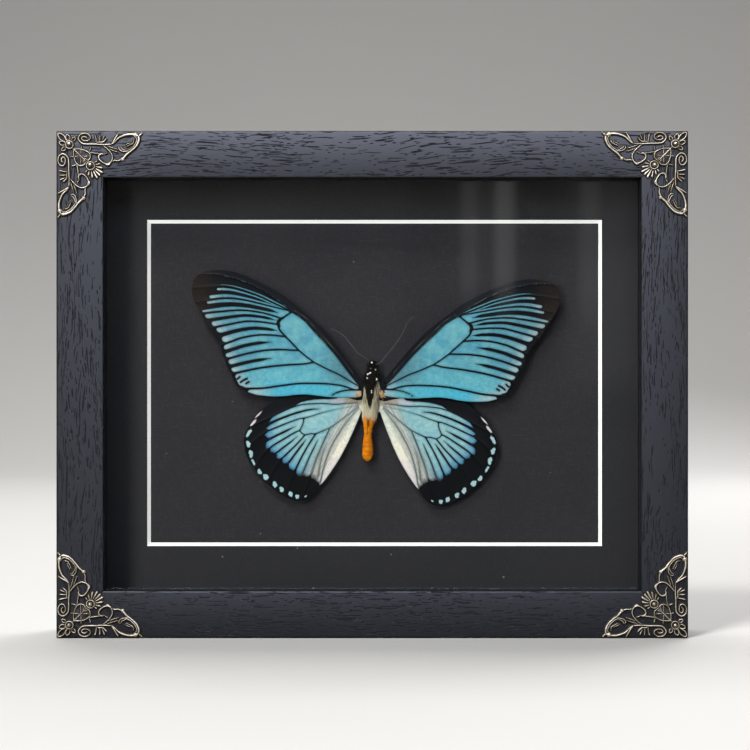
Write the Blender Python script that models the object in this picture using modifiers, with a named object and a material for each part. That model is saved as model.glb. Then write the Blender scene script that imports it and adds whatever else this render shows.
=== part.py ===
"""A framed butterfly specimen: a black wooden shadow box with brass corners, a bevelled mat and a
spread blue swallowtail fixed to its board. Metres, +Z up, +Y to the back, origin under the middle."""

import math

import bmesh
import bpy
from mathutils import Vector

MM = 0.001

# Driving dimensions of the box
FRAME_WIDTH = 254 * MM
FRAME_HEIGHT = 204 * MM
RAIL_DEPTH = 34 * MM
RAIL_WIDTH = 19 * MM
RAIL_WALL = 13 * MM
LIP_DEPTH = 7 * MM
GAP = 0.3 * MM

# The stack behind the lip, each piece's thickness from front to back
GLASS_THICKNESS = 2 * MM
SPACER_DEPTH = 12.8 * MM
SPACER_WALL = 4.7 * MM
MAT_THICKNESS = 1.5 * MM
BOARD_THICKNESS = 3 * MM
BACK_THICKNESS = 2.5 * MM

# The mat's window, at the white edge's inner side, and how far it was cut off centre
WINDOW_WIDTH = 183.9 * MM
WINDOW_HEIGHT = 131.1 * MM
WINDOW_SHIFT_X = 0.95 * MM
WINDOW_SHIFT_Z = 0.6 * MM

# The brass corners and their brads
ORNAMENT_THICKNESS = 1.1 * MM
ORNAMENT_INSET = 0.6 * MM
BRAD_PLACES = (5.4 * MM, 13.85 * MM)
BRAD_HEAD_RADIUS = 0.8 * MM
BRAD_HEAD_HEIGHT = 0.8 * MM
BRAD_SHANK_RADIUS = 0.45 * MM
BRAD_SHANK_LENGTH = 8 * MM

# The tabs and the hanger at the back
TAB_SIZE = (14 * MM, 6 * MM, 0.5 * MM)
TAB_BITE = 4 * MM
TAB_SPREAD = 0.27  # each tab's distance from the rail's middle, as a share of its length
HANGER_LENGTH = 44 * MM
HANGER_HEIGHT = 8 * MM
HANGER_METAL = 0.8 * MM
HANGER_RISE = 1.3 * MM
HANGER_FOOT = 8 * MM
HANGER_DROP = 22 * MM
HANGER_TEETH = 9
TOOTH_PITCH = 2.2 * MM
TOOTH_NOTCH = 1.3 * MM
HANGER_BRAD_X = 18.5 * MM
HANGER_BRAD_HEAD = (1.6 * MM, 0.7 * MM)
HANGER_BRAD_SHANK = (0.5 * MM, 2.6 * MM)

# The butterfly, and how much its left wings were lifted as it was spread
LEFT_FOREWING_LIFT = math.radians(4.1)
LEFT_HINDWING_LIFT = math.radians(2.9)
WING_THICKNESS = 0.3 * MM
THORAX_RADIUS = 3.7 * MM

# Levels that follow from the stack, measured along Y
FRONT = -(RAIL_DEPTH - GAP - ORNAMENT_THICKNESS - GAP - BRAD_HEAD_HEIGHT) / 2
BACK = FRONT + RAIL_DEPTH
GLASS_FRONT = FRONT + LIP_DEPTH + GAP
SPACER_FRONT = GLASS_FRONT + GLASS_THICKNESS + GAP
MAT_FRONT = SPACER_FRONT + SPACER_DEPTH + GAP
BOARD_FRONT = MAT_FRONT + MAT_THICKNESS + GAP
BACK_FRONT = BOARD_FRONT + BOARD_THICKNESS + GAP
BACK_REAR = BACK_FRONT + BACK_THICKNESS
MIDDLE_Z = FRAME_HEIGHT / 2
BODY_Y = BOARD_FRONT - GAP - THORAX_RADIUS
FOREWING_Y = BODY_Y - 1.1 * MM
HINDWING_Y = BODY_Y - 0.4 * MM
ANTENNA_Y = BODY_Y - 1.2 * MM

# The specimen's own middle, a little off the frame's
SPECIMEN_X = -0.3 * MM
SPECIMEN_Z = MIDDLE_Z + 0.6 * MM

# The room inside the rebate
REBATE_WIDTH = FRAME_WIDTH - 2 * RAIL_WALL
REBATE_HEIGHT = FRAME_HEIGHT - 2 * RAIL_WALL

UPRIGHT = math.pi / 2  # turns a flat curve from the ground plane to face the front


def emptyScene():
    for old in list(bpy.data.objects):
        bpy.data.objects.remove(old, do_unlink=True)


def makeCollection(name):
    made = bpy.data.collections.new(name)
    bpy.context.scene.collection.children.link(made)
    return made


def makeMaterial(name, colour, roughness, metallic=0.0, transmission=0.0):
    made = bpy.data.materials.new(name)
    made.use_nodes = True
    made.diffuse_color = (*colour, 1)
    shader = made.node_tree.nodes["Principled BSDF"]
    shader.inputs["Base Color"].default_value = (*colour, 1)
    shader.inputs["Roughness"].default_value = roughness
    shader.inputs["Metallic"].default_value = metallic
    shader.inputs["Transmission Weight"].default_value = transmission
    return made


def addObject(name, data, material=None, collection=None):
    made = bpy.data.objects.new(name, data)
    (collection or parts).objects.link(made)
    if material:
        data.materials.append(material)
    return made


def addBox(name, size, centre, material=None, collection=None):
    """A box of the given size, made as a scaled cube in mesh space."""
    mesh = bpy.data.meshes.new(name)
    shape = bmesh.new()
    bmesh.ops.create_cube(shape, size=1)
    bmesh.ops.scale(shape, vec=size, verts=shape.verts)
    shape.to_mesh(mesh)
    shape.free()
    made = addObject(name, mesh, material, collection)
    made.location = centre
    return made


def addFlatCurve(name, loops, thickness, material, steps=3, kind="BEZIER"):
    """Closed loops in the ground plane, filled between them and thickened up and down."""
    curve = bpy.data.curves.new(name, "CURVE")
    curve.dimensions = "2D"
    curve.fill_mode = "BOTH"
    curve.extrude = thickness / 2
    curve.resolution_u = steps
    for loop in loops:
        spline = curve.splines.new(kind)
        spline.use_cyclic_u = True
        if kind == "BEZIER":
            spline.bezier_points.add(len(loop) - 1)
            for point, (x, y) in zip(spline.bezier_points, loop):
                point.co = (x, y, 0)
                point.handle_left_type = "AUTO"
                point.handle_right_type = "AUTO"
        else:
            spline.points.add(len(loop) - 1)
            for point, (x, y) in zip(spline.points, loop):
                point.co = (x, y, 0, 1)
    return addObject(name, curve, material)


def addTube(name, points, radii, material, sides):
    """A round tube through the points, with its own radius at each of them."""
    curve = bpy.data.curves.new(name, "CURVE")
    curve.dimensions = "3D"
    curve.bevel_depth = 1
    curve.bevel_resolution = sides
    curve.use_fill_caps = True
    spline = curve.splines.new("POLY")
    spline.points.add(len(points) - 1)
    for point, place, radius in zip(spline.points, points, radii):
        point.co = (*place, 1)
        point.radius = radius
    return addObject(name, curve, material)


def curveToMesh(curveObject):
    """Changes a curve object for a mesh one of the same name and place, with its caps welded."""
    evaluated = curveObject.evaluated_get(bpy.context.evaluated_depsgraph_get())
    mesh = bpy.data.meshes.new_from_object(evaluated)
    shape = bmesh.new()
    shape.from_mesh(mesh)
    bmesh.ops.remove_doubles(shape, verts=shape.verts, dist=0.00001)
    shape.to_mesh(mesh)
    shape.free()
    name = curveObject.name
    place = curveObject.matrix_world.copy()
    bpy.data.objects.remove(curveObject, do_unlink=True)
    made = bpy.data.objects.new(name, mesh)
    parts.objects.link(made)
    made.matrix_world = place
    return made


def cut(target, cutter):
    cutter.hide_render = True
    cutter.display_type = "WIRE"
    modifier = target.modifiers.new("cut by " + cutter.name, "BOOLEAN")
    modifier.operation = "DIFFERENCE"
    modifier.object = cutter


def addRodCutter(name, radius, length, centre, segments=10):
    """A cylinder along Y that cuts a nail's hole."""
    mesh = bpy.data.meshes.new(name)
    shape = bmesh.new()
    bmesh.ops.create_cone(shape, cap_ends=True, segments=segments, radius1=radius, radius2=radius,
                          depth=length)
    shape.to_mesh(mesh)
    shape.free()
    made = addObject(name, mesh, None, cutters)
    made.rotation_euler = (UPRIGHT, 0, 0)
    made.location = centre
    return made


def roundedOutline(corners, steps=4):
    """A polygon whose corners (x, y, radius) are rounded with arcs that touch both sides."""
    outline = []
    count = len(corners)
    for index, (x, y, radius) in enumerate(corners):
        here = Vector((x, y))
        if radius == 0:
            outline.append((x, y))
            continue
        before = (Vector(corners[index - 1][:2]) - here).normalized()
        after = (Vector(corners[(index + 1) % count][:2]) - here).normalized()
        centre = here + (before + after) * radius
        for step in range(steps + 1):
            turn = step / steps * math.pi / 2
            place = centre - after * radius * math.cos(turn) - before * radius * math.sin(turn)
            outline.append(tuple(place))
    return outline


def makeRails(wood):
    """Four lengths of one rebated moulding. Each end is sheared to the mitre, inward by the same
    amount as a point of the section lies from the outer edge."""
    section = roundedOutline([
        (0, 0, 0.7 * MM),
        (0, RAIL_DEPTH, 0.4 * MM),
        (RAIL_WALL, RAIL_DEPTH, 0.4 * MM),
        (RAIL_WALL, LIP_DEPTH, 0),
        (RAIL_WIDTH, LIP_DEPTH, 0),
        (RAIL_WIDTH, 0, 0.5 * MM),
    ])
    mitreGap = GAP / math.sqrt(2)
    rails = {}
    for name, turn, place, length in (
        ("left", 0, (-FRAME_WIDTH / 2, FRONT, MIDDLE_Z), FRAME_HEIGHT),
        ("top", UPRIGHT, (0, FRONT, FRAME_HEIGHT), FRAME_WIDTH),
        ("right", 2 * UPRIGHT, (FRAME_WIDTH / 2, FRONT, MIDDLE_Z), FRAME_HEIGHT),
        ("bottom", -UPRIGHT, (0, FRONT, 0), FRAME_WIDTH),
    ):
        rail = curveToMesh(addFlatCurve("rail_" + name, [section], length, wood, kind="POLY"))
        for vertex in rail.data.vertices:
            end = length / 2 - vertex.co.x - mitreGap
            vertex.co.z = math.copysign(end, vertex.co.z)
        rail.rotation_euler = (0, turn, 0)
        rail.location = place
        rails[name] = rail
    return rails


def makeStack(glass, card, core, board, spacerCard):
    """Everything that lies in the rebate, from the glass to the back panel."""
    middle = Vector((0, 0, MIDDLE_Z))
    wide = REBATE_WIDTH - 2 * GAP
    high = REBATE_HEIGHT - 2 * GAP

    def layer(name, front, thickness, material, slack=0.0):
        place = middle + Vector((0, front + thickness / 2, 0))
        return addBox(name, (wide - slack, thickness, high - slack), place, material)

    layer("glass", GLASS_FRONT, GLASS_THICKNESS, glass, 0.4 * MM)
    for name, side in (("top", 1), ("bottom", -1)):
        place = middle + Vector((0, SPACER_FRONT + SPACER_DEPTH / 2, side * (high - SPACER_WALL) / 2))
        addBox("spacer_" + name, (wide, SPACER_DEPTH, SPACER_WALL), place, spacerCard)
    sideHeight = high - 2 * (SPACER_WALL + GAP)
    for name, side in (("left", -1), ("right", 1)):
        place = middle + Vector((side * (wide - SPACER_WALL) / 2, SPACER_FRONT + SPACER_DEPTH / 2, 0))
        addBox("spacer_" + name, (SPACER_WALL, SPACER_DEPTH, sideHeight), place, spacerCard)

    mat = layer("mat", MAT_FRONT, MAT_THICKNESS, card)
    mat.data.materials.append(core)
    window = addBox("mat window", (WINDOW_WIDTH, 3 * MAT_THICKNESS, WINDOW_HEIGHT),
                    mat.location + Vector((WINDOW_SHIFT_X, 0, WINDOW_SHIFT_Z)), None, cutters)
    for corner in window.data.vertices:  # the cut widens towards the front at 45 degrees
        widening = MAT_THICKNESS / 2 - corner.co.y
        corner.co.x += math.copysign(widening, corner.co.x)
        corner.co.z += math.copysign(widening, corner.co.z)
    cut(mat, window)

    layer("specimen_board", BOARD_FRONT, BOARD_THICKNESS, card)
    return layer("back_panel", BACK_FRONT, BACK_THICKNESS, board)


def makeTabs(rails, steel):
    """Flat tabs driven into slots of the rebate wall, which hold the back panel in."""
    length, width, thickness = TAB_SIZE
    level = BACK_REAR + GAP + thickness / 2
    reach = length / 2 - TAB_BITE
    halfWidth = REBATE_WIDTH / 2
    halfHeight = REBATE_HEIGHT / 2
    number = 1
    for rail in ("top", "right", "bottom", "left"):
        for along in (-TAB_SPREAD, TAB_SPREAD):
            if rail in ("top", "bottom"):
                side = 1 if rail == "top" else -1
                place = (along * FRAME_WIDTH, level, MIDDLE_Z + side * (halfHeight - reach))
                size = (width, thickness, length)
            else:
                side = 1 if rail == "right" else -1
                place = (side * (halfWidth - reach), level, MIDDLE_Z + along * FRAME_HEIGHT)
                size = (length, thickness, width)
            addBox("tab_%d" % number, size, place, steel)
            room = tuple(edge + 2 * GAP for edge in size)
            cut(rails[rail], addBox("tab slot %d" % number, room, place, None, cutters))
            number += 1


def makeBrad(name, place, headRadius, headHeight, shankRadius, shankLength, material, towards):
    """A brad turned from one profile: a domed head and a shank, with its axis along Y."""
    profile = [(0, headHeight)]
    for step in range(1, 4):
        turn = step / 3 * math.pi / 2
        profile.append((headRadius * math.sin(turn), headHeight * (0.25 + 0.75 * math.cos(turn))))
    profile.append((headRadius, 0))
    profile.append((shankRadius, 0))
    profile.append((shankRadius, -shankLength + shankRadius))
    profile.append((0, -shankLength))
    mesh = bpy.data.meshes.new(name)
    mesh.from_pydata([(x, 0, z) for x, z in profile], [(i, i + 1) for i in range(len(profile) - 1)], [])
    brad = addObject(name, mesh, material)
    turned = brad.modifiers.new("turned", "SCREW")
    turned.steps = 10
    turned.render_steps = 10
    turned.use_merge_vertices = True
    turned.merge_threshold = 0.00001
    brad.rotation_euler = (UPRIGHT * towards, 0, 0)
    brad.location = place
    return brad


def ornamentLoops():
    """One corner's outline and holes. Places are (along one edge, along the other), in
    millimetres from the frame's corner, and the second half is the first with its two swapped."""
    half = [
        (3.9, 0.9), (7.0, 1.7), (9.0, 0.8), (11.4, 0.1), (14.0, 1.2), (16.8, 0.7), (19.6, 1.5),
        (21.8, 2.4), (24.7, 0.6), (27.6, 1.1), (31.0, 1.0), (34.4, 0.3), (33.2, 4.8), (30.6, 8.0),
        (26.8, 10.6), (25.0, 12.4), (21.0, 13.8), (18.6, 15.2),
    ]
    halfHoles = [
        [(8.6, 3.3), (11.0, 4.6), (10.6, 6.4), (8.0, 7.4)],
        [(15.5, 2.5), (18.6, 3.4), (16.0, 4.3), (13.9, 3.7)],
        [(13.0, 6.4), (17.6, 6.6), (15.4, 8.6), (12.4, 8.4)],
        [(19.7, 8.8), (21.4, 10.4), (19.7, 12.1), (18.2, 10.4)],
        [(23.4, 6.6), (25.2, 8.2), (24.6, 10.2), (23.2, 8.8)],
        [(25.0, 3.8), (28.4, 2.6), (31.4, 3.2), (30.0, 5.6), (27.6, 6.6)],
        [(15.8, 10.6), (17.2, 12.0), (16.8, 13.6), (15.4, 12.2)],
    ]

    def swapped(points):
        return [(b, a) for a, b in reversed(points)]

    def metres(points):
        return [(a * MM, b * MM) for a, b in points]

    loops = [metres([(0.9, 0.9)] + half + [(17.6, 17.6)] + swapped(half))]
    for hole in halfHoles:
        loops.append(metres(hole))
        loops.append(metres(swapped(hole)))
    nailRadius = BRAD_SHANK_RADIUS + GAP
    for place in BRAD_PLACES:
        corner = place - ORNAMENT_INSET
        ring = [(corner + nailRadius * math.cos(turn * math.pi / 2),
                 corner + nailRadius * math.sin(turn * math.pi / 2)) for turn in range(4)]
        loops.append(ring)
    return loops


def makeOrnaments(rails, brass):
    """The same openwork plate on each corner, quarter turns apart, pinned with two brads that go
    into the mitre, so each hole there is cut in both rails that meet."""
    level = FRONT - GAP - ORNAMENT_THICKNESS / 2
    headLevel = level - ORNAMENT_THICKNESS / 2 - GAP
    holeDepth = 2 * (BRAD_SHANK_LENGTH - ORNAMENT_THICKNESS)
    number = 1
    for name, turn, sideX, sideZ in (
        ("bottom_left", 0, -1, -1),
        ("top_left", 1, -1, 1),
        ("top_right", 2, 1, 1),
        ("bottom_right", 3, 1, -1),
    ):
        cornerX = sideX * FRAME_WIDTH / 2
        cornerZ = MIDDLE_Z + sideZ * FRAME_HEIGHT / 2
        plate = addFlatCurve("ornament_" + name, ornamentLoops(), ORNAMENT_THICKNESS, brass, 2)
        plate.rotation_euler = (UPRIGHT, turn * UPRIGHT, 0)
        plate.location = (cornerX - sideX * ORNAMENT_INSET, level, cornerZ - sideZ * ORNAMENT_INSET)
        for inward in BRAD_PLACES:
            place = Vector((cornerX - sideX * inward, headLevel, cornerZ - sideZ * inward))
            makeBrad("ornament_brad_%d" % number, place, BRAD_HEAD_RADIUS, BRAD_HEAD_HEIGHT,
                     BRAD_SHANK_RADIUS, BRAD_SHANK_LENGTH, brass, 1)
            hole = addRodCutter("brad hole %d" % number, BRAD_SHANK_RADIUS + GAP, holeDepth,
                                (place.x, FRONT, place.z))
            cut(rails["left" if sideX < 0 else "right"], hole)
            cut(rails["bottom" if sideZ < 0 else "top"], hole)
            number += 1


def makeHanger(backPanel, steel):
    """A sawtooth hanger: a strip bent up in its middle, with teeth cut along its lower edge, and
    a brad through each foot into the back panel."""
    foot = BACK_REAR + GAP
    half = HANGER_LENGTH / 2
    bend = -half + HANGER_FOOT
    raised = foot + HANGER_RISE
    lower = [(-half, foot), (bend, foot), (bend + HANGER_RISE, raised)]
    upper = [(x, y + HANGER_METAL) for x, y in lower]
    strip = lower + [(-x, y) for x, y in reversed(lower)]
    strip += [(-x, y) for x, y in upper] + list(reversed(upper))
    hanger = curveToMesh(addFlatCurve("hanger", [strip], HANGER_HEIGHT, steel, kind="POLY"))
    centreZ = MIDDLE_Z + REBATE_HEIGHT / 2 - HANGER_DROP
    hanger.location = (0, 0, centreZ)

    for tooth in range(HANGER_TEETH):
        x = (tooth - (HANGER_TEETH - 1) / 2) * TOOTH_PITCH
        notch = addBox("tooth %d" % (tooth + 1), (TOOTH_NOTCH, HANGER_HEIGHT, TOOTH_NOTCH),
                       (x, raised, centreZ - HANGER_HEIGHT / 2), None, cutters)
        notch.rotation_euler = (0, math.pi / 4, 0)
        cut(hanger, notch)

    for name, side in (("left", -1), ("right", 1)):
        place = Vector((side * HANGER_BRAD_X, foot + HANGER_METAL + GAP, centreZ))
        makeBrad("hanger_brad_" + name, place, *HANGER_BRAD_HEAD, *HANGER_BRAD_SHANK, steel, -1)
        hole = addRodCutter("hanger hole " + name, HANGER_BRAD_SHANK[0] + GAP,
                            4 * HANGER_BRAD_SHANK[1], place)
        cut(hanger, hole)
        cut(backPanel, hole)


def specimenPoint(u, v, y):
    """A place on the specimen, in millimetres right of and above its middle, as a world point."""
    return Vector((SPECIMEN_X + u * MM, y, SPECIMEN_Z + v * MM))


def makeWings(scales):
    """The right wings' outlines through a few points, and the left ones as their mirror image,
    each lifted a little about the middle of the thorax, as this specimen was spread."""
    forewing = [
        (5.2, 0.4), (12.4, 10.3), (22.6, 21.4), (38.4, 33.6), (50.0, 39.2), (65.8, 43.5), (74.2, 42.3),
        (78.6, 37.8), (77.4, 31.0), (73.2, 24.1), (65.3, 15.1), (61.6, 6.6), (56.3, -4.0), (47.9, -7.4),
        (36.3, -7.1), (17.9, -6.3), (5.4, -4.6),
    ]
    hindwing = [
        (4.6, -8.2), (16.0, -6.6), (30.0, -5.0), (39.2, -8.3), (46.2, -14.2), (51.4, -22.4), (51.6, -29.4),
        (47.7, -37.9), (40.7, -44.9), (31.8, -50.0), (25.9, -50.4), (21.1, -47.1), (14.1, -36.0),
        (7.9, -24.2), (4.8, -14.2),
    ]
    for name, outline, level, lift in (
        ("forewing", forewing, FOREWING_Y, LEFT_FOREWING_LIFT),
        ("hindwing", hindwing, HINDWING_Y, LEFT_HINDWING_LIFT),
    ):
        for sideName, side in (("left", -1), ("right", 1)):
            loop = [(side * u * MM, v * MM) for u, v in outline]
            wing = addFlatCurve("%s_%s" % (name, sideName), [loop], WING_THICKNESS, scales, 4)
            wing.rotation_euler = (UPRIGHT, lift if side < 0 else 0, 0)
            wing.location = (SPECIMEN_X, level, SPECIMEN_Z)


def makeBody(fur):
    """Head, thorax and abdomen as one tube whose radius swells and narrows along it."""
    stations = [  # right, above, radius
        (0.45, 9.2, 0.7), (0.42, 8.4, 1.6), (0.38, 6.9, 2.1), (0.3, 5.4, 1.6), (0.25, 4.6, 1.7),
        (0.2, 2.8, 2.6), (0, 0.2, 3.4), (-0.1, -3.4, 3.7), (-0.3, -7.2, 3.5), (-0.5, -10.4, 3.0),
        (-0.7, -13, 2.6), (-0.8, -15, 2.9), (-1.0, -18, 2.2), (-1.2, -20.5, 1.7), (-1.35, -23, 1.8),
        (-1.45, -26, 2.2), (-1.5, -28.5, 2.4), (-1.5, -30.5, 2.0), (-1.5, -32.2, 0.7),
    ]
    points = [specimenPoint(u, v, BODY_Y) for u, v, radius in stations]
    radii = [radius * MM for u, v, radius in stations]
    addTube("body", points, radii, fur, 3)


def makeAntennae(dark):
    """A thin shaft with a thicker club at its tip, on each side of the head."""
    for name, route in (
        ("left", [(-1.9, 9.7), (-6.0, 12.7), (-9.2, 16.8), (-12.2, 20.0), (-14.6, 21.4), (-16.7, 22.3)]),
        ("right", [(3.1, 8.0), (6.5, 11.9), (10.1, 15.8), (12.7, 20.3), (14.8, 24.7), (17.1, 27.3)]),
    ):
        points = [specimenPoint(u, v, ANTENNA_Y) for u, v in route]
        radii = [0.14 * MM] * 4 + [0.26 * MM, 0.3 * MM]
        addTube("antenna_" + name, points, radii, dark, 1)


def shadeRound():
    bpy.context.view_layer.update()
    for made in parts.objects:
        if made.type == "MESH":
            made.data.shade_smooth()
            made.data.set_sharp_from_angle(angle=math.radians(35))


emptyScene()
parts = makeCollection("framed_butterfly")
cutters = makeCollection("cutters")

blackWood = makeMaterial("black_wood", (0.032, 0.033, 0.04), 0.45)
clearGlass = makeMaterial("clear_glass", (1, 1, 1), 0.02, 0, 1)
blackCard = makeMaterial("black_card", (0.03, 0.03, 0.033), 0.9)
whiteCore = makeMaterial("white_core", (0.9, 0.9, 0.88), 0.8)
spacerCard = makeMaterial("spacer_card", (0.025, 0.025, 0.028), 0.9)
backBoard = makeMaterial("back_board", (0.22, 0.13, 0.07), 0.8)
antiqueBrass = makeMaterial("antique_brass", (0.5, 0.38, 0.2), 0.35, 1)
tabSteel = makeMaterial("tab_steel", (0.6, 0.6, 0.6), 0.35, 1)
wingScales = makeMaterial("wing_scales", (0.15, 0.45, 0.6), 0.6)
bodyFur = makeMaterial("body_fur", (0.45, 0.22, 0.05), 0.8)
antennaDark = makeMaterial("antenna_dark", (0.02, 0.015, 0.01), 0.4)

rails = makeRails(blackWood)
backPanel = makeStack(clearGlass, blackCard, whiteCore, backBoard, spacerCard)
makeTabs(rails, tabSteel)
makeOrnaments(rails, antiqueBrass)
makeHanger(backPanel, tabSteel)
makeWings(wingScales)
makeBody(bodyFur)
makeAntennae(antennaDark)
shadeRound()
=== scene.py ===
import math

import bmesh
import bpy
import numpy as np
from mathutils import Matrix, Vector


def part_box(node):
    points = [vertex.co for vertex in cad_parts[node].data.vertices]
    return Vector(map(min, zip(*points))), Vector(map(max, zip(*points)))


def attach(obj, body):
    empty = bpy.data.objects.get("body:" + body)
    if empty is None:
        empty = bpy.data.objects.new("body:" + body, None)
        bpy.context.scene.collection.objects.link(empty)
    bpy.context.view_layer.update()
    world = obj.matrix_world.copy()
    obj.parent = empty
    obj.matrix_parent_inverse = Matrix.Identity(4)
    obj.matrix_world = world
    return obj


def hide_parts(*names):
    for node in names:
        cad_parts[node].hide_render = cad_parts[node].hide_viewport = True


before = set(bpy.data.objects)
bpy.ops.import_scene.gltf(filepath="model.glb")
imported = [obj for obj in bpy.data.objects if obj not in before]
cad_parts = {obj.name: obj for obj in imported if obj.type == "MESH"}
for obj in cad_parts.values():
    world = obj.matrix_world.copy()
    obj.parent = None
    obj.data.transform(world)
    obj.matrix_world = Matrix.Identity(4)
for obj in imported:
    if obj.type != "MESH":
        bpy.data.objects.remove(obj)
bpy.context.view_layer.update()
mm = 0.001


def runLength(line):
    # How far along a line of points each of them lies.
    return np.concatenate([[0], np.cumsum(np.linalg.norm(np.diff(line, axis=0), axis=1))])


def smoothLine(points, fractions):
    # A Catmull-Rom curve through the points, read at these fractions of its whole length.
    given = np.asarray(points, float)
    ends = (2 * given[0] - given[1], 2 * given[-1] - given[-2])
    p = np.vstack([ends[0], given, ends[1]])
    steps = 24  # from each given point to the next
    t = np.linspace(0, 1, steps, endpoint=False)[:, None, None]
    a, b, c, d = p[:-3], p[1:-2], p[2:-1], p[3:]
    run = 0.5 * (2 * b + (c - a) * t + (2 * a - 5 * b + 4 * c - d) * t**2 + (3 * b - a - 3 * c + d) * t**3)
    run = np.vstack([run.transpose(1, 0, 2).reshape(-1, given.shape[1]), given[-1]])
    length = runLength(run)
    length /= length[-1]
    return np.stack([np.interp(fractions, length, run[:, k]) for k in range(given.shape[1])], axis=1)


def distanceTo(points, line):
    # The shortest distance from each point to any piece of a line of points.
    flat = points.reshape(-1, 1, points.shape[-1])
    start = line[None, :-1]
    step = line[None, 1:] - start
    share = ((flat - start) * step).sum(-1) / np.maximum((step**2).sum(-1), 1e-12)
    nearest = start + np.clip(share, 0, 1)[..., None] * step
    return np.linalg.norm(flat - nearest, axis=-1).min(1).reshape(points.shape[:-1])


def easeStep(low, high, value):
    # 0 below low, 1 above high, and a smooth rise between them.
    t = np.clip((value - low) / (high - low), 0, 1)
    return t * t * (3 - 2 * t)


def softNoise(points, scale, seed):
    # A smooth random field: sums of sines in turned directions, each layer twice as fine and half
    # as strong as the one before, about -1 to 1.
    maker = np.random.default_rng(seed)
    layers, waves, gain = 3, 5, 2.2
    total = np.zeros(points.shape[:-1])
    weight = 0
    for layer in range(layers):
        for _ in range(waves):
            way = maker.normal(size=points.shape[-1])
            way /= np.linalg.norm(way)
            size = scale * 2.0**layer * maker.uniform(0.7, 1.3)
            total = total + np.sin(points @ way * size + maker.uniform(0, 6.28)) / 2.0**layer
        weight += waves / 2.0**layer
    return total / weight * gain


def makeSheet(points, closeAlong=False, closeAcross=False, flip=False, slot=0, masks=None):
    # One grid of points (along, across, xyz) with how its edges join and what it carries.
    return dict(points=np.asarray(points, float), closeAlong=closeAlong, closeAcross=closeAcross,
                flip=flip, slot=slot, masks=masks or {})


def joinSheets(name, sheets, materials, merge=0.0, turnOut=False):
    # Grids become quads: each face takes a point, its neighbours along and across, and the one
    # diagonal to it. A sheet may be a stack of equal grids. All go into one mesh, with a float
    # attribute for each mask.
    places, faces, slots = [], [], []
    maskNames = sorted({key for sheet in sheets for key in sheet["masks"]})
    masks = {key: [] for key in maskNames}
    offset = 0
    for sheet in sheets:
        shape = sheet["points"].shape[:-1]
        index = np.arange(math.prod(shape)).reshape(shape) + offset
        if sheet["closeAlong"]:
            index = np.concatenate([index, index[..., :1, :]], axis=-2)
        if sheet["closeAcross"]:
            index = np.concatenate([index, index[..., :1]], axis=-1)
        corners = [index[..., :-1, :-1], index[..., 1:, :-1], index[..., 1:, 1:], index[..., :-1, 1:]]
        if sheet["flip"]:
            corners.reverse()
        quads = np.stack(corners, axis=-1).reshape(-1, 4)
        faces.append(quads)
        slots.append(np.full(len(quads), sheet["slot"]))
        places.append(sheet["points"].reshape(-1, 3))
        for key in maskNames:
            value = sheet["masks"].get(key, 0.0)
            masks[key].append(np.broadcast_to(value, shape).reshape(-1))
        offset += math.prod(shape)
    places = np.vstack(places)
    faces = np.vstack(faces)
    mesh = bpy.data.meshes.new(name)
    mesh.vertices.add(len(places))
    mesh.vertices.foreach_set("co", places.ravel())
    mesh.loops.add(faces.size)
    mesh.loops.foreach_set("vertex_index", faces.ravel())
    mesh.polygons.add(len(faces))
    mesh.polygons.foreach_set("loop_start", np.arange(0, faces.size, 4))
    mesh.polygons.foreach_set("material_index", np.concatenate(slots))
    mesh.update(calc_edges=True)
    for key in maskNames:
        layer = mesh.attributes.new(key, "FLOAT", "POINT")
        layer.data.foreach_set("value", np.concatenate(masks[key]).astype(np.float32))
    if merge or turnOut:
        work = bmesh.new()
        work.from_mesh(mesh)
        if merge:
            bmesh.ops.remove_doubles(work, verts=work.verts, dist=merge)
            bmesh.ops.dissolve_degenerate(work, edges=work.edges, dist=merge / 4)
        if turnOut:
            bmesh.ops.recalc_face_normals(work, faces=work.faces)
        work.to_mesh(mesh)
        work.free()
    mesh.shade_smooth()
    piece = bpy.data.objects.new(name, mesh)
    bpy.context.scene.collection.objects.link(piece)
    for material in materials:
        mesh.materials.append(material)
    return piece


def closeAndTurnOut(piece):
    # Caps the open ends of a piece and turns its faces outwards.
    work = bmesh.new()
    work.from_mesh(piece.data)
    bmesh.ops.holes_fill(work, edges=work.edges, sides=0)
    bmesh.ops.recalc_face_normals(work, faces=work.faces)
    work.to_mesh(piece.data)
    work.free()


def placePiece(piece, slotName, *nodes):
    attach(piece, "root")
    if nodes:
        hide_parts(*nodes)


def dressNode(name, material):
    # Gives a CAD piece, which stays as it is, its material.
    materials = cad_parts[name].data.materials
    materials.clear()
    materials.append(material)


def put(tree, kind, values=None, **settings):
    # Adds a shader node. An input gets its value, or a link where the value is another's output.
    made = tree.nodes.new("ShaderNode" + kind)
    for key, value in settings.items():
        setattr(made, key, value)
    for key, value in (values or {}).items():
        if isinstance(value, bpy.types.NodeSocket):
            tree.links.new(value, made.inputs[key])
        else:
            made.inputs[key].default_value = value
    return made


def calc(tree, operation, a, b=0.0):
    return put(tree, "Math", {0: a, 1: b}, operation=operation).outputs[0]


def plus(tree, a, b):
    return calc(tree, "ADD", a, b)


def times(tree, first, *others):
    # The product of all of them, from the left.
    for other in others:
        first = calc(tree, "MULTIPLY", first, other)
    return first


def ease(tree, value, low, high, bottom=0.0, top=1.0):
    # 0 up to low and 1 from high on, or the other way round where high is the smaller.
    made = put(tree, "MapRange", {"Value": value, "From Min": low, "From Max": high, "To Min": bottom,
                                  "To Max": top}, interpolation_type="SMOOTHSTEP")
    return made.outputs["Result"]


def blendColour(tree, share, a, b, mode="MIX"):
    made = put(tree, "Mix", {0: share, 6: a, 7: b}, data_type="RGBA", blend_type=mode)
    return made.outputs[2]


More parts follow.
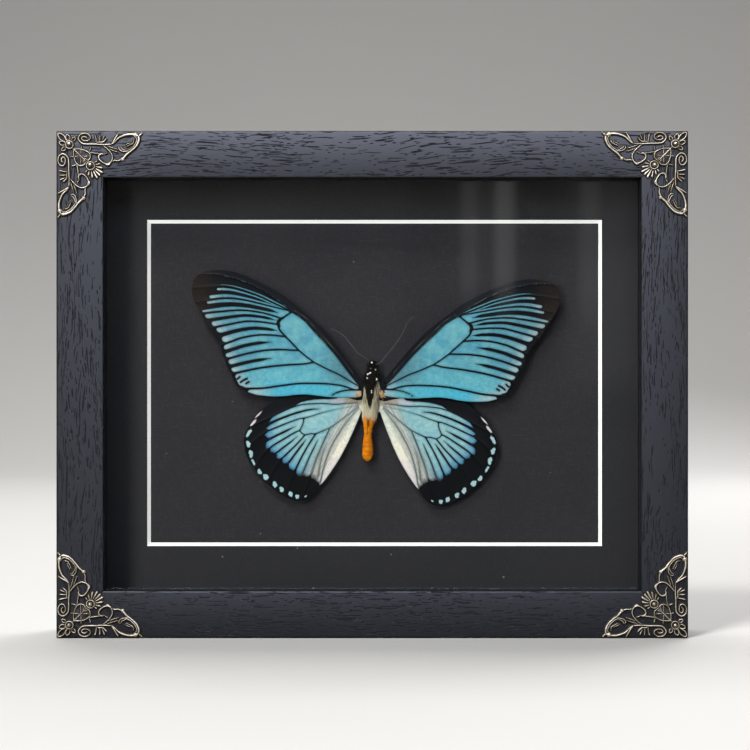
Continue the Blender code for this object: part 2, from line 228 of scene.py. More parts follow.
def noise(tree, place, scale, detail=3.0, roughness=0.55, distortion=0.0):
    made = put(tree, "TexNoise", {"Vector": place, "Scale": scale, "Detail": detail,
                                  "Roughness": roughness, "Distortion": distortion})
    return made.outputs["Fac"]


def stretch(tree, place, scale=(1, 1, 1), turn=(0, 0, 0), move=(0, 0, 0)):
    return put(tree, "Mapping", {"Vector": place, "Scale": scale, "Rotation": turn,
                                 "Location": move}).outputs[0]


def objectPlace(tree):
    return put(tree, "TexCoord").outputs["Object"]


def mask(tree, name):
    return put(tree, "Attribute", attribute_name=name).outputs["Fac"]


def newMaterial(name, **constants):
    # A Principled material whose constants are set on the shader's own sockets.
    made = bpy.data.materials.new(name)
    made.use_nodes = True
    tree = made.node_tree
    shader = tree.nodes["Principled BSDF"]
    for key, value in constants.items():
        shader.inputs[key.replace("_", " ")].default_value = value
    return made, tree, shader


def bumpTo(tree, shader, height, strength, distance):
    bump = put(tree, "Bump", {"Height": height, "Strength": strength, "Distance": distance})
    tree.links.new(bump.outputs[0], shader.inputs["Normal"])


def newGroup(name, inputs, outputs):
    # A node group: inputs are (name, kind, default), outputs are (name, kind).
    group = bpy.data.node_groups.new(name, "ShaderNodeTree")
    for label, kind, default in inputs:
        socket = group.interface.new_socket(label, in_out="INPUT", socket_type="NodeSocket" + kind)
        if default is not None:
            socket.default_value = default
    for label, kind in outputs:
        group.interface.new_socket(label, in_out="OUTPUT", socket_type="NodeSocket" + kind)
    start = group.nodes.new("NodeGroupInput")
    end = group.nodes.new("NodeGroupOutput")
    return group, start.outputs, end.inputs


def useGroup(tree, group, values):
    return put(tree, "Group", values, node_tree=group).outputs


def paint(tree, shader, colour):
    tree.links.new(colour, shader.inputs["Base Color"])


def buildDustGroup():
    # Sparse pale specks: the cores of randomly kept Voronoi cells, as a mask.
    group, given, out = newGroup("dustSpecks", [("Place", "Vector", None), ("Spacing", "Float", 400.0),
                                                ("Amount", "Float", 0.1), ("Size", "Float", 0.12)],
                                 [("Mask", "Float")])
    cells = put(group, "TexVoronoi", {"Vector": given["Place"], "Scale": given["Spacing"]})
    rolls = put(group, "SeparateColor", {0: cells.outputs["Color"]}).outputs
    kept = calc(group, "LESS_THAN", rolls[0], given["Amount"])
    size = times(group, given["Size"], plus(group, rolls[1], 0.35))
    core = calc(group, "LESS_THAN", cells.outputs["Distance"], size)
    group.links.new(times(group, kept, core), out["Mask"])
    return group


def buildFibreGroup():
    # Card surface: fine grain, crossing paper fibres and slow blotches, as a tone and a height.
    group, given, out = newGroup("cardFibres", [("Place", "Vector", None), ("Grain", "Float", 1800.0)],
                                 [("Tone", "Float"), ("Height", "Float")])
    fine = noise(group, given["Place"], given["Grain"], 2.0, 0.7)
    threadA = noise(group, stretch(group, given["Place"], (300, 300, 2600), (0, 0.6, 0)), 1.0, 2.0)
    threadB = noise(group, stretch(group, given["Place"], (2600, 300, 320), (0, 0.3, 0)), 1.0, 2.0)
    blotch = noise(group, given["Place"], 26.0, 2.0)
    threads = calc(group, "MAXIMUM", ease(group, threadA, 0.56, 0.74), ease(group, threadB, 0.56, 0.74))
    tone = plus(group, times(group, fine, 0.5), times(group, threads, 0.35))
    tone = plus(group, tone, times(group, blotch, 0.3))
    group.links.new(tone, out["Tone"])
    group.links.new(plus(group, fine, times(group, threads, 0.6)), out["Height"])
    return group


dustGroup = buildDustGroup()
fibreGroup = buildFibreGroup()


# pores: length and width (m), size in its cell, how many more stand where they crowd, and the fewest
railLook = dict(base=(0.0048, 0.0050, 0.0058, 1), light=(0.0068, 0.0071, 0.0082, 1),
                cloud=(0.0038, 0.0039, 0.0046, 1), pore=(0.0018, 0.0020, 0.0038, 1),
                pores=((0.020, 0.00095, 0.27, 0.55, 0.06), (0.0085, 0.0009, 0.27, 0.5, 0.14),
                       (0.0034, 0.0008, 0.26, 0.25, 0.12)),
                wallShare=13 / 19, glassGap=0.3 * mm, mitreGap=0.12 * mm, outerEdge=0.8 * mm,
                innerEdge=0.6 * mm, sightEdge=0.25 * mm, backEdge=0.5 * mm, arcSteps=6, lengthSteps=9)


def buildPoreGroup():
    # Open pores: flat Voronoi cells stretched along the grain, with an ellipse of each kept cell as
    # the pore. The place's X runs along the grain, in metres. Its other two are laid over each
    # other, so the pattern goes round the edges without streaks.
    group, given, out = newGroup("openPores", [("Place", "Vector", None), ("Length", "Float", 0.02),
                                               ("Width", "Float", 0.001), ("Share", "Float", 0.6),
                                               ("Size", "Float", 0.3)], [("Pore", "Float")])
    parts = put(group, "SeparateXYZ", {0: given["Place"]}).outputs
    across = plus(group, times(group, parts[1], 0.83), parts[2])
    across = calc(group, "DIVIDE", across, given["Width"])
    row = put(group, "CombineXYZ", {1: times(group, across, 0.4)}).outputs[0]
    offset = times(group, noise(group, row, 1.0, 0.0), 5.0)
    along = plus(group, calc(group, "DIVIDE", parts[0], given["Length"]), offset)
    place = put(group, "CombineXYZ", {0: along, 1: across}).outputs[0]
    cells = put(group, "TexVoronoi", {"Vector": place, "Scale": 1.0}, voronoi_dimensions="2D")
    rolls = put(group, "SeparateColor", {0: cells.outputs["Color"]}).outputs
    kept = calc(group, "LESS_THAN", rolls[0], given["Share"])
    size = times(group, rolls[1], 0.7)
    size = times(group, given["Size"], plus(group, size, 0.5))
    edge = times(group, size, 0.5)
    depth = ease(group, cells.outputs["Distance"], edge, size, 1.0, 0.0)
    group.links.new(times(group, depth, kept), out["Pore"])
    return group


poreGroup = buildPoreGroup()


def woodMaterial(name, turn, seed):
    # Black-stained open-grain wood. turn brings the rail's own length onto the pattern's X.
    made, tree, shader = newMaterial(name, IOR=1.5)
    move = (seed * 0.137, seed * 0.071, seed * 0.053)
    place = stretch(tree, objectPlace(tree), turn=turn, move=move)
    bent = place
    for scale, amount in (((14, 40, 40), 0.0085), ((60, 130, 130), 0.0017)):
        slow = put(tree, "TexNoise", {"Vector": stretch(tree, place, scale), "Scale": 1.0, "Detail": 1.0})
        part = put(tree, "VectorMath", {0: slow.outputs["Color"], 1: (0.5, 0.5, 0.5)}, operation="SUBTRACT")
        part = put(tree, "VectorMath", {0: part.outputs[0], 1: (0.0, amount, amount)}, operation="MULTIPLY")
        bent = put(tree, "VectorMath", {0: bent, 1: part.outputs[0]}, operation="ADD").outputs[0]
    crowd = ease(tree, noise(tree, stretch(tree, place, (24, 85, 85)), 1.0, 1.0), 0.3, 0.56)
    pores = None
    for length, width, size, rate, least in railLook["pores"]:
        share = plus(tree, times(tree, crowd, rate), least)
        shifted = stretch(tree, bent, move=(length, 7 * length, 3 * length))
        layer = useGroup(tree, poreGroup, {"Place": shifted, "Length": length, "Width": width, "Size": size,
                                           "Share": share})["Pore"]
        pores = layer if pores is None else calc(tree, "MAXIMUM", pores, layer)
    ragged = noise(tree, stretch(tree, bent, (500, 2600, 2600)), 1.0, 2.0)
    pores = times(tree, pores, ease(tree, ragged, 0.3, 0.48, 0.6, 1.0))
    fibre = noise(tree, stretch(tree, bent, (90, 2400, 2400)), 1.0, 3.0, 0.6)
    cloud = noise(tree, stretch(tree, place, (9, 45, 45)), 1.0, 2.0)
    body = blendColour(tree, ease(tree, fibre, 0.25, 0.75), railLook["base"], railLook["light"])
    clouded = times(tree, ease(tree, cloud, 0.35, 0.7), 0.35)
    body = blendColour(tree, clouded, body, railLook["cloud"])
    colour = blendColour(tree, times(tree, pores, 0.95), body, railLook["pore"])
    paint(tree, shader, colour)
    rough = plus(tree, times(tree, fibre, 0.08), 0.42)
    rough = plus(tree, rough, times(tree, pores, 0.5))
    tree.links.new(rough, shader.inputs["Roughness"])
    height = calc(tree, "SUBTRACT", times(tree, fibre, 0.06), pores)
    bumpTo(tree, shader, height, 0.9, 0.0002)
    return made


def roundedSection(corners, steps):
    # A closed outline whose corners (inward, back, radius) are quarter arcs.
    outline = []
    for number, (x, y, radius) in enumerate(corners):
        here = np.array([x, y], float)
        before = np.array(corners[number - 1][:2], float) - here
        after = np.array(corners[(number + 1) % len(corners)][:2], float) - here
        before /= np.linalg.norm(before)
        after /= np.linalg.norm(after)
        turn = np.linspace(0, math.pi / 2, steps if radius else 1)[:, None]
        centre = here + (before + after) * radius
        outline.append(centre - radius * (after * np.cos(turn) + before * np.sin(turn)))
    return np.vstack(outline)


def makeRails():
    # Each rail is its rounded section carried along its length, with every end point pulled back
    # by its own distance from the outer edge, which is the mitre.
    low, high = (np.array(corner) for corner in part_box("rail_top"))
    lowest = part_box("rail_bottom")[0]
    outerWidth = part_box("rail_right")[1][0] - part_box("rail_left")[0][0]
    outerHeight = high[2] - lowest[2]
    depth = high[1] - low[1]
    railWidth = high[2] - low[2]
    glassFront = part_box("glass")[0][1]
    lipDepth = glassFront - railLook["glassGap"] - low[1]
    wall = railWidth * railLook["wallShare"]
    backEdge = railLook["backEdge"]
    section = roundedSection([(0, 0, railLook["outerEdge"]), (0, depth, backEdge), (wall, depth, backEdge),
                              (wall, lipDepth, 0), (railWidth, lipDepth, railLook["sightEdge"]),
                              (railWidth, 0, railLook["innerEdge"])], railLook["arcSteps"])
    middleZ = lowest[2] + outerHeight / 2
    for name, inward, along, length, seed in (
        ("top", (0, 0, -1), (1, 0, 0), outerWidth, 1), ("bottom", (0, 0, 1), (-1, 0, 0), outerWidth, 2),
        ("left", (1, 0, 0), (0, 0, 1), outerHeight, 3), ("right", (-1, 0, 0), (0, 0, -1), outerHeight, 4),
    ):
        inward = np.array(inward, float)
        along = np.array(along, float)
        flat = name in ("top", "bottom")
        outer = (outerHeight if flat else outerWidth) / 2
        start = np.array([0, low[1], middleZ]) - inward * outer
        reach = length / 2 - section[:, 0] - railLook["mitreGap"]
        run = np.linspace(-1, 1, railLook["lengthSteps"])[:, None] * reach
        points = start + section[:, :1] * inward + section[:, 1:] * np.array([0, 1.0, 0])
        points = points + run[..., None] * along
        turn = (0, 0, 0) if flat else (0, math.pi / 2, 0)
        rail = joinSheets("wood_" + name, [makeSheet(points, closeAcross=True)],
                          [woodMaterial("black wood " + name, turn, seed)])
        closeAndTurnOut(rail)
        rail.data.set_sharp_from_angle(angle=math.radians(30))
        placePiece(rail, "black_wood", "rail_" + name)
    print("rails made")


# each card: its colour, how far that varies, and the share of places that hold a dust speck
cardLook = dict(mat=((0.0214, 0.0205, 0.0218), 0.22, 0.02), board=((0.0223, 0.0206, 0.0235), 0.25, 0.06),
                spacer=((0.011, 0.011, 0.012), 0.25, 0.02), speck=(0.16, 0.15, 0.14, 1), grain=1500.0,
                speckSpacing=260.0, speckSize=0.1,
                core=((0.86, 0.86, 0.85, 1), (1, 1, 1, 1)))


def cardMaterial(name, colour, spread, dust):
    # Fibrous card with a few specks of dust.
    made, tree, shader = newMaterial(name, Roughness=0.85, Specular_IOR_Level=0.25)
    place = objectPlace(tree)
    fibres = useGroup(tree, fibreGroup, {"Place": place, "Grain": cardLook["grain"]})
    specks = useGroup(tree, dustGroup, {"Place": place, "Spacing": cardLook["speckSpacing"], "Amount": dust,
                                        "Size": cardLook["speckSize"]})
    dark = tuple(part * (1 - spread) for part in colour)
    pale = tuple(part * (1 + spread) for part in colour)
    body = blendColour(tree, ease(tree, fibres["Tone"], 0.25, 0.75), (*dark, 1), (*pale, 1))
    body = blendColour(tree, specks["Mask"], body, cardLook["speck"])
    paint(tree, shader, body)
    bumpTo(tree, shader, fibres["Height"], 0.35, 0.00008)
    return made


def coreMaterial():
    # The white core of the mat, showing at the bevel cut: a little fibrous, with a painted glow (a weak
    # emission) that brightens it as a lamp would.
    made, tree, shader = newMaterial("white core", Roughness=0.8, Specular_IOR_Level=0.2,
                                     Emission_Color=(1, 1, 1, 1), Emission_Strength=0.2)
    grain = noise(tree, objectPlace(tree), 1400.0, 3.0)
    paint(tree, shader, blendColour(tree, grain, *cardLook["core"]))
    bumpTo(tree, shader, grain, 0.3, 0.00005)
    return made


# the window's size at its inner edge, how far it was cut off centre, and the black paper's thickness
matSize = dict(width=183.9 * mm, height=131.1 * mm, shiftX=0.95 * mm, shiftZ=0.6 * mm, paper=0.12 * mm,
               sideSteps=24)


def makeMat():
    # The mat is one section (front face, bevel, back face, outer edge) carried round its window:
    # each section point runs round as a rectangle of its own size.
    low, high = (np.array(corner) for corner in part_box("mat"))
    thick = high[1] - low[1]
    centre = (low + high) / 2
    outer = np.array([high[0] - low[0], high[2] - low[2]]) / 2
    inner = np.array([matSize["width"], matSize["height"]]) / 2
    shift = np.array([matSize["shiftX"], matSize["shiftZ"]])
    corners = np.array([(-1, -1), (1, -1), (1, 1), (-1, 1)], float)

    def ring(half, offset, y):
        flat = corners * half + offset
        following = np.roll(flat, -1, axis=0)
        share = np.linspace(0, 1, matSize["sideSteps"], endpoint=False)[:, None]
        run = (flat[:, None] + (following - flat)[:, None] * share[None]).reshape(-1, 2)
        return np.stack([centre[0] + run[:, 0], np.full(len(run), y), centre[2] + run[:, 1]], axis=1)

    still = np.zeros(2)
    cut = [ring(outer, still, low[1]), ring(inner + thick, shift, low[1]),
           ring(inner + thick - matSize["paper"], shift, low[1] + matSize["paper"]),
           ring(inner, shift, high[1]), ring(outer, still, high[1])]
    card = cardMaterial("black card", *cardLook["mat"])
    sheets = [makeSheet(np.stack(cut[0:2], axis=1), closeAlong=True),
              makeSheet(np.stack(cut[1:3], axis=1), closeAlong=True),
              makeSheet(np.stack(cut[2:4], axis=1), closeAlong=True, slot=1),
              makeSheet(np.stack([cut[3], cut[4], cut[0]], axis=1), closeAlong=True)]
    mat = joinSheets("window_mat", sheets, [card, coreMaterial()], merge=0.00001, turnOut=True)
    mat.data.set_sharp_from_angle(angle=math.radians(25))
    placePiece(mat, "black_card", "mat")
    print("mat made")


flatLook = dict(glass=(0.94, 0.95, 0.94, 1), steel=((0.5, 0.51, 0.52, 1), (0.68, 0.68, 0.66, 1)),
                hardboard=((0.12, 0.065, 0.034, 1), (0.26, 0.16, 0.09, 1)), flake=(0.1, 0.055, 0.03, 1))


def glassMaterial():
    # Clear glass that lets the lamps through, so that what is behind it is lit.
    made, tree, shader = newMaterial("clear pane", Base_Color=(1, 1, 1, 1), Roughness=0.0, IOR=1.5,
                                     Transmission_Weight=1.0)
    clear = put(tree, "BsdfTransparent", {"Color": flatLook["glass"]})
    path = put(tree, "LightPath")
    passing = calc(tree, "MAXIMUM", path.outputs["Is Shadow Ray"], path.outputs["Is Diffuse Ray"])
    passing = calc(tree, "MAXIMUM", passing, path.outputs["Is Glossy Ray"])
    both = put(tree, "MixShader", {0: passing, 1: shader.outputs[0], 2: clear.outputs[0]})
    tree.links.new(both.outputs[0], tree.nodes["Material Output"].inputs["Surface"])
    return made


def steelMaterial():
    # Zinc-plated steel: a cloudy tone and brushed lines.
    made, tree, shader = newMaterial("zinc steel", Metallic=1.0)
    place = objectPlace(tree)
    cloud = noise(tree, place, 90.0, 4.0)
    brushed = noise(tree, stretch(tree, place, (2200, 2200, 120)), 1.0, 2.0)
    paint(tree, shader, blendColour(tree, ease(tree, cloud, 0.35, 0.7), *flatLook["steel"]))
    tree.links.new(plus(tree, times(tree, cloud, 0.3), 0.22), shader.inputs["Roughness"])
    bumpTo(tree, shader, brushed, 0.2, 0.00003)
    return made


def hardboardMaterial():
    # Brown hardboard: pressed fibres of many sizes, a few darker flakes and a rubbed sheen.
    made, tree, shader = newMaterial("hardboard", Specular_IOR_Level=0.35)
    place = objectPlace(tree)
    flakes = noise(tree, place, 900.0, 5.0, 0.7)
    slow = noise(tree, place, 22.0, 3.0)
    colour = blendColour(tree, ease(tree, flakes, 0.3, 0.7), *flatLook["hardboard"])
    darker = times(tree, ease(tree, slow, 0.4, 0.7), 0.4)
    paint(tree, shader, blendColour(tree, darker, colour, flatLook["flake"]))
    tree.links.new(plus(tree, times(tree, flakes, 0.3), 0.4), shader.inputs["Roughness"])
    bumpTo(tree, shader, flakes, 0.3, 0.0001)
    return made


def dressFlatNodes():
    dressNode("specimen_board", cardMaterial("black board", *cardLook["board"]))
    foam = cardMaterial("spacer card", *cardLook["spacer"])
    for side in ("top", "bottom", "left", "right"):
        dressNode("spacer_" + side, foam)
    dressNode("glass", glassMaterial())
    dressNode("back_panel", hardboardMaterial())
    steel = steelMaterial()
    for number in range(1, 9):
        dressNode("tab_%d" % number, steel)
    for name in ("hanger", "hanger_brad_left", "hanger_brad_right"):
        dressNode(name, steel)
    print("flat nodes dressed")


# rows run along a space between two veins, and across counts the steps from one vein to the next;
# ridge and furrow (mm): how high a vein stands and how wide it is, and the slope beside it;
# for each wing: which side, how much it was lifted (degrees), its size and its shift (mm)
wingSize = dict(rows=60, across=16, gather=0.6, originX=-0.3 * mm, originZ=0.6 * mm, thickness=0.07 * mm,
                ridge=(0.16, 0.28), furrow=(0.11, 1.2), tipRise=0.6 * mm, hindBack=0.5 * mm,
                forewing_right=(1, 0.0, 0.98, 0.0, -0.3), forewing_left=(-1, 4.0, 0.98, 1.1, -1.0),
                hindwing_right=(1, 0.0, 0.993, 0.0, 0.0), hindwing_left=(-1, 2.9, 0.98, 0.0, 0.0))


# what a patch's fields say where it has no tips, no pale spots, no fine streaks, or is black all over
noTip, noSpot, noStreak, allBlack = 30.0, -5.0, -1.0, 1.5


def fillPatch(first, second, start, end):
    # A Coons patch: a straight blend between the two sides, plus a blend between the two ends,
    # less the blend of the four corners.
    def share(a, b):
        steps = [runLength(line) for line in (a, b)]
        steps = [line / line[-1] for line in steps if line[-1] > 1e-9]
        return sum(steps) / len(steps)

    f = share(first, second)[:, None, None]
    r = share(start, end)[None, :, None]
    sides = (1 - r) * first[:, None] + r * second[:, None]
    ends = (1 - f) * start[None] + f * end[None]
    corners = ((1 - f) * (1 - r) * first[0] + (1 - f) * r * second[0] + f * (1 - r) * first[-1]
               + f * r * second[-1])
    return sides + ends - corners


def roundedMeet(q, e, radius):
    # Inside distance to two edges that meet in a corner of this radius.
    both = radius - np.hypot(np.maximum(0, radius - q), np.maximum(0, radius - e))
    return np.where((q < radius) & (e < radius), both, np.minimum(q, e))


def taper(pair, f):
    return pair[0] + (pair[1] - pair[0]) * f


def markPatch(grid, veins, ends, tips, stripe=None, startVein=None, tipRadius=3.0):
    # How far (mm) each point lies inside the black: the blue fills each space between veins, less
    # a middle stripe, and ends in rounded tips before the margin.
    rows, columns = grid.shape[:2]
    f = np.linspace(0, 1, rows)[:, None]
    nearFirst = distanceTo(grid, grid[:, 0]) - taper(veins[0], f)
    nearSecond = distanceTo(grid, grid[:, -1]) - taper(veins[1], f)
    q = np.minimum(nearFirst, nearSecond)
    half = (nearFirst + nearSecond) / 2
    gap = taper(tips, np.linspace(0, 1, columns)[None])
    if stripe:
        middle = columns // 2
        line = grid[:, middle]
        length = runLength(line)
        begin = np.searchsorted(length, stripe["start"])
        beyond = (length - stripe["start"])[:, None]
        width = taper(stripe["half"], f) * easeStep(-0.5, stripe["grow"], beyond)
        nearStripe = distanceTo(grid, line[begin:]) - width
        q = np.minimum(q, nearStripe)
        firstHalf = np.arange(columns)[None] <= middle
        half = (np.where(firstHalf, nearFirst, nearSecond) + nearStripe) / 2
        gap = np.where(firstHalf, tips[0], tips[1])
    if startVein is not None:
        q = np.minimum(q, distanceTo(grid, ends[0]) - startVein)
    e = distanceTo(grid, ends[1]) - gap
    return -roundedMeet(q, e, np.clip(half, 0.15, tipRadius)), e


def startPatches(tips):
    # A wing's list of patches, how one is added to it, and how the margin runs from the end of one
    # vein to the end of the next.
    patches = []

    def add(first, second, start, end, **marks):
        grid = fillPatch(first, second, start, end)
        ink, toTip = markPatch(grid, ends=(start, end), **marks)
        patches.append(dict(grid=grid, ink=ink, toTip=toTip))
        return patches[-1]

    def margin(number, *between):
        return evenLine([tips[number], *between, tips[number + 1]], wingSize["across"])

    return patches, add, margin


def drawOn(patch, line, half):
    # Adds a dark line of this half width (mm) to a patch.
    patch["ink"] = np.maximum(patch["ink"], half - distanceTo(patch["grid"], line))


def wingLine(points):
    # A smooth line in even steps that are drawn closer at its far end, where the markings are finest.
    t = np.linspace(0, 1, wingSize["rows"] + 1)
    return smoothLine(points, t + wingSize["gather"] * np.sin(math.pi * t) / math.pi)


def evenLine(points, count):
    return smoothLine(points, np.linspace(0, 1, count + 1))


def joinLines(*lines):
    return np.vstack([lines[0]] + [line[1:] for line in lines[1:]])


def forewingPatches():
    # The right forewing in mm from the specimen's middle, (right, up): its edges, its veins from the
    # cell to the margin, and the patches between them. rc, rb and r5 are radial veins, m1 to m3
    # medial ones, ca1 and ca2 cubital ones. costa and rear are the wing's front and rear edges.
    tip = (36.6, 28.3)
    rc = wingLine([tip, (40, 31.0), (44, 33.5), (48, 35.7), (52, 37.5), (56, 39.0), (62, 40.6), (70, 41.7),
                   (76.2, 41.2)])
    rb = wingLine([tip, (39, 29.4), (42, 30.6), (46, 32.2), (50, 33.8), (54, 35.0), (58, 36.0), (62, 36.8),
                   (66, 37.0), (72, 36.4), (78.6, 35.4)])
    r5 = wingLine([tip, (39, 28.9), (42, 29.4), (46, 30.1), (50, 30.8), (54, 31.5), (58, 32.0), (62, 32.2),
                   (66, 31.9), (70, 31.1), (77.1, 29.4)])
    m1 = wingLine([(40.6, 25.2), (45, 26.3), (50, 27.2), (57.4, 27.5), (65.3, 26.5), (74.2, 24.9)])
    m2 = wingLine([(42, 22.6), (46, 23.0), (50, 23.2), (55.3, 23.0), (61.6, 21.4), (68.4, 19.5),
                   (70.6, 18.9)])
    m3 = wingLine([(38.4, 17.7), (41, 17.9), (44.7, 18.0), (50, 17.6), (56.3, 16.1), (60.5, 14.3),
                   (65.2, 12.2)])
    ca1 = wingLine([(32.4, 12.4), (36, 12.3), (40.5, 12.2), (46.8, 11.4), (53.2, 9.8), (58, 8.2),
                    (62.9, 6.4)])
    ca2 = wingLine([(25.8, 7.9), (30, 6.9), (36.3, 6.1), (44.2, 4.8), (51.1, 3.2), (59.8, 0.6)])
    anal = wingLine([(5.6, -2.3), (8.5, -2.3), (11.6, -1.4), (15.3, -0.8), (21.6, -0.7), (31, -1.3),
                     (39.5, -2.9), (46.8, -4.4), (55.6, -5.2)])
    rear = wingLine([(5.0, -5.0), (10, -5.8), (17.9, -6.2), (22.6, -6.0), (27.9, -5.8), (32.1, -6.2),
                     (36.3, -7.0), (41.6, -7.6), (47.9, -7.5), (51.5, -6.8), (54.8, -5.7)])
    across = wingSize["across"]
    cellRows = (28, across, across)
    base = (6.2, -0.9)
    rearCell = [evenLine([base, (10, 1.0), (15.3, 3.6), (20.5, 5.6), (25.8, 7.9)], cellRows[0]),
                evenLine([(25.8, 7.9), (29.2, 10.1), (32.4, 12.4)], cellRows[1]),
                evenLine([(32.4, 12.4), (35.8, 15.5), (38.4, 17.7)], cellRows[2])]
    cellRear = joinLines(*rearCell)
    cellFront = evenLine([(6.6, -0.2), (8.4, 1.8), (11.3, 5), (16.8, 11.3), (21.6, 16.1), (26.8, 20.9),
                          (31, 25.0), tip], sum(cellRows))
    endCell = [evenLine([tip, (38.6, 26.6), (40.6, 25.2)], across),
               evenLine([(40.6, 25.2), (41.7, 24.0), (42, 22.6)], across),
               evenLine([(42, 22.6), (41.0, 20.4), (38.4, 17.7)], across)]
    cellEnd = joinLines(*endCell)
    cellBase = evenLine([(6.6, -0.2), (6.4, -0.5), base], 3 * across)
    shoulder = evenLine([(4.6, 0.8), (6.3, 2.9), (12.4, 10.3), (17.4, 16.1), (22.6, 21.4), (27.9, 25.7),
                         (33.2, 29.6)], sum(cellRows))
    costa = wingLine([(33.2, 29.6), (38.4, 33.5), (44.7, 36.8), (50, 39.2), (55.3, 41.3), (60.5, 42.9),
                      (65.8, 43.6), (70, 43.4), (73.4, 42.6)])
    costa = joinLines(shoulder, costa)
    point = np.repeat(np.array([tip]), across + 1, axis=0)
    tips = [line[-1] for line in (rc, rb, r5, m1, m2, m3, ca1, ca2, anal, rear)]
    patches, add, margin = startPatches(tips)
    vein = (0.32, 0.5)
    # between the front edge and the cell with its first vein: black
    front = joinLines(cellFront, rc)
    costaEnd = evenLine([(73.4, 42.6), (75.0, 42.0), tips[0]], 10)
    costaStart = evenLine([(4.6, 0.8), (6.6, -0.2)], 10)
    grid = fillPatch(costa, front, costaStart, costaEnd)
    nearVein = 0.13 - np.abs(distanceTo(grid, front[30:110]) - 0.05)
    nearRoot = 0.1 - np.abs(distanceTo(grid, front[8:60]) - 1.2)
    patches.append(dict(grid=grid, ink=allBlack, toTip=distanceTo(grid, costaEnd),
                        streak=np.maximum(nearVein, nearRoot)))
    apex = add(rc, rb, point, margin(0, (77.9, 39.4), (78.6, 37.4)), veins=((0.3, 0.5), (0.25, 0.45)),
               tips=(7.8, 7.8))
    blueHalf = np.interp(apex["grid"][..., 0], [36, 44, 60, 68], [0.5, 0.75, 0.75, 0.55])
    apex["ink"] = np.maximum(apex["ink"], distanceTo(apex["grid"], rb) - blueHalf)
    add(rb, r5, point, margin(1, (78.5, 33.2), (77.9, 31.2)), veins=((0.3, 1.25), (0.25, 0.6)),
        tips=(10.2, 6.4), stripe=dict(start=6.5, half=(0.3, 1.35), grow=10.0))
    add(r5, m1, endCell[0], margin(2, (76.2, 28.0), (75.2, 26.4)), veins=((0.25, 0.65), (0.3, 0.5)),
        tips=(4.3, 0.9), stripe=dict(start=3.4, half=(0.65, 1.3), grow=5.0), startVein=0.3)
    add(m1, m2, endCell[1], margin(3, (73.2, 23.4), (71.8, 21.2)), veins=(vein, vein), tips=(0.9, 1.9),
        stripe=dict(start=1.3, half=(0.5, 0.85), grow=4.0), startVein=0.7)
    add(m2, m3, endCell[2], margin(4, (69.3, 17.8), (67.2, 15.2)), veins=(vein, vein), tips=(1.9, 1.7),
        stripe=dict(start=1.3, half=(0.6, 1.0), grow=4.0), startVein=0.35)
    add(m3, ca1, rearCell[2][::-1], margin(5, (64.7, 10.3), (63.9, 8.2)), veins=(vein, vein),
        tips=(1.2, 1.0), stripe=dict(start=8.4, half=(0.6, 0.85), grow=6.0), startVein=0.3)
    add(ca1, ca2, rearCell[1][::-1], margin(6, (62.3, 4.5), (61.2, 2.3)), veins=(vein, vein),
        tips=(1.2, 1.0), stripe=dict(start=14.2, half=(0.6, 0.8), grow=6.0), startVein=0.3)
    wide = cellRows[0] + 6
    analStart = joinLines(rearCell[0][::-1], evenLine([base, (5.9, -1.6), (5.6, -2.3)], 6))
    late = add(ca2, anal, analStart,
               evenLine([tips[7], (59.0, -1.1), (57.9, -3.2), (56.9, -4.5), tips[8]], wide),
               veins=(vein, (0.25, 0.4)), tips=(1.1, 1.1), startVein=0.28, tipRadius=1.4)
    for dash in ([(53.2, -0.9), (54.6, -1.6), (55.8, -2.6)], [(52.4, -2.2), (53.4, -2.9)],
                 [(56.3, -0.4), (57.2, -1.3)]):
        drawOn(late, evenLine(dash, 8), 0.42)
    inner = add(anal, rear, evenLine([(5.6, -2.3), (5.4, -3.6), (5.0, -5.0)], across), margin(8),
                veins=(vein, (0.0, 0.1)), tips=(3.0, 2.2), tipRadius=1.2)
    stub = evenLine([(5.6, -2.3), (9, -2.5), (12.6, -3.1), (15.6, -4.2), (17.4, -5.4)], 30)
    drawOn(inner, stub, 0.32)
    cell = add(cellFront, cellRear, cellBase, cellEnd, veins=((0.25, 0.2), (0.22, 0.32)), tips=(0.4, 0.32),
               tipRadius=0.6)
    cell["toTip"] = noTip
    knot = evenLine([(39.8, 25.8), (41.2, 24.6), (41.7, 23.3), (41.4, 21.8)], 20)
    drawOn(cell, knot, 0.6)
    outer = joinLines(costaStart, evenLine([(6.6, -0.2), (6.4, -0.5), base, (5.9, -1.6), (5.6, -2.3)], 10),
                      evenLine([(5.6, -2.3), (5.4, -3.6), (5.0, -5.0)], 10))
    inside = evenLine([(1.8, -0.2), (1.6, -1.6), (1.6, -3.4), (1.8, -5.0)], 30)
    grid = fillPatch(inside, outer, evenLine([(1.8, -0.2), (4.6, 0.8)], 8),
                     evenLine([(1.8, -5.0), (5.0, -5.0)], 8))
    patches.append(dict(grid=grid, ink=allBlack, toTip=noTip))
    ridges = [rc, rb, r5, m1, m2, m3, ca1, ca2, anal, cellFront, cellRear, cellEnd]
    return patches, ridges


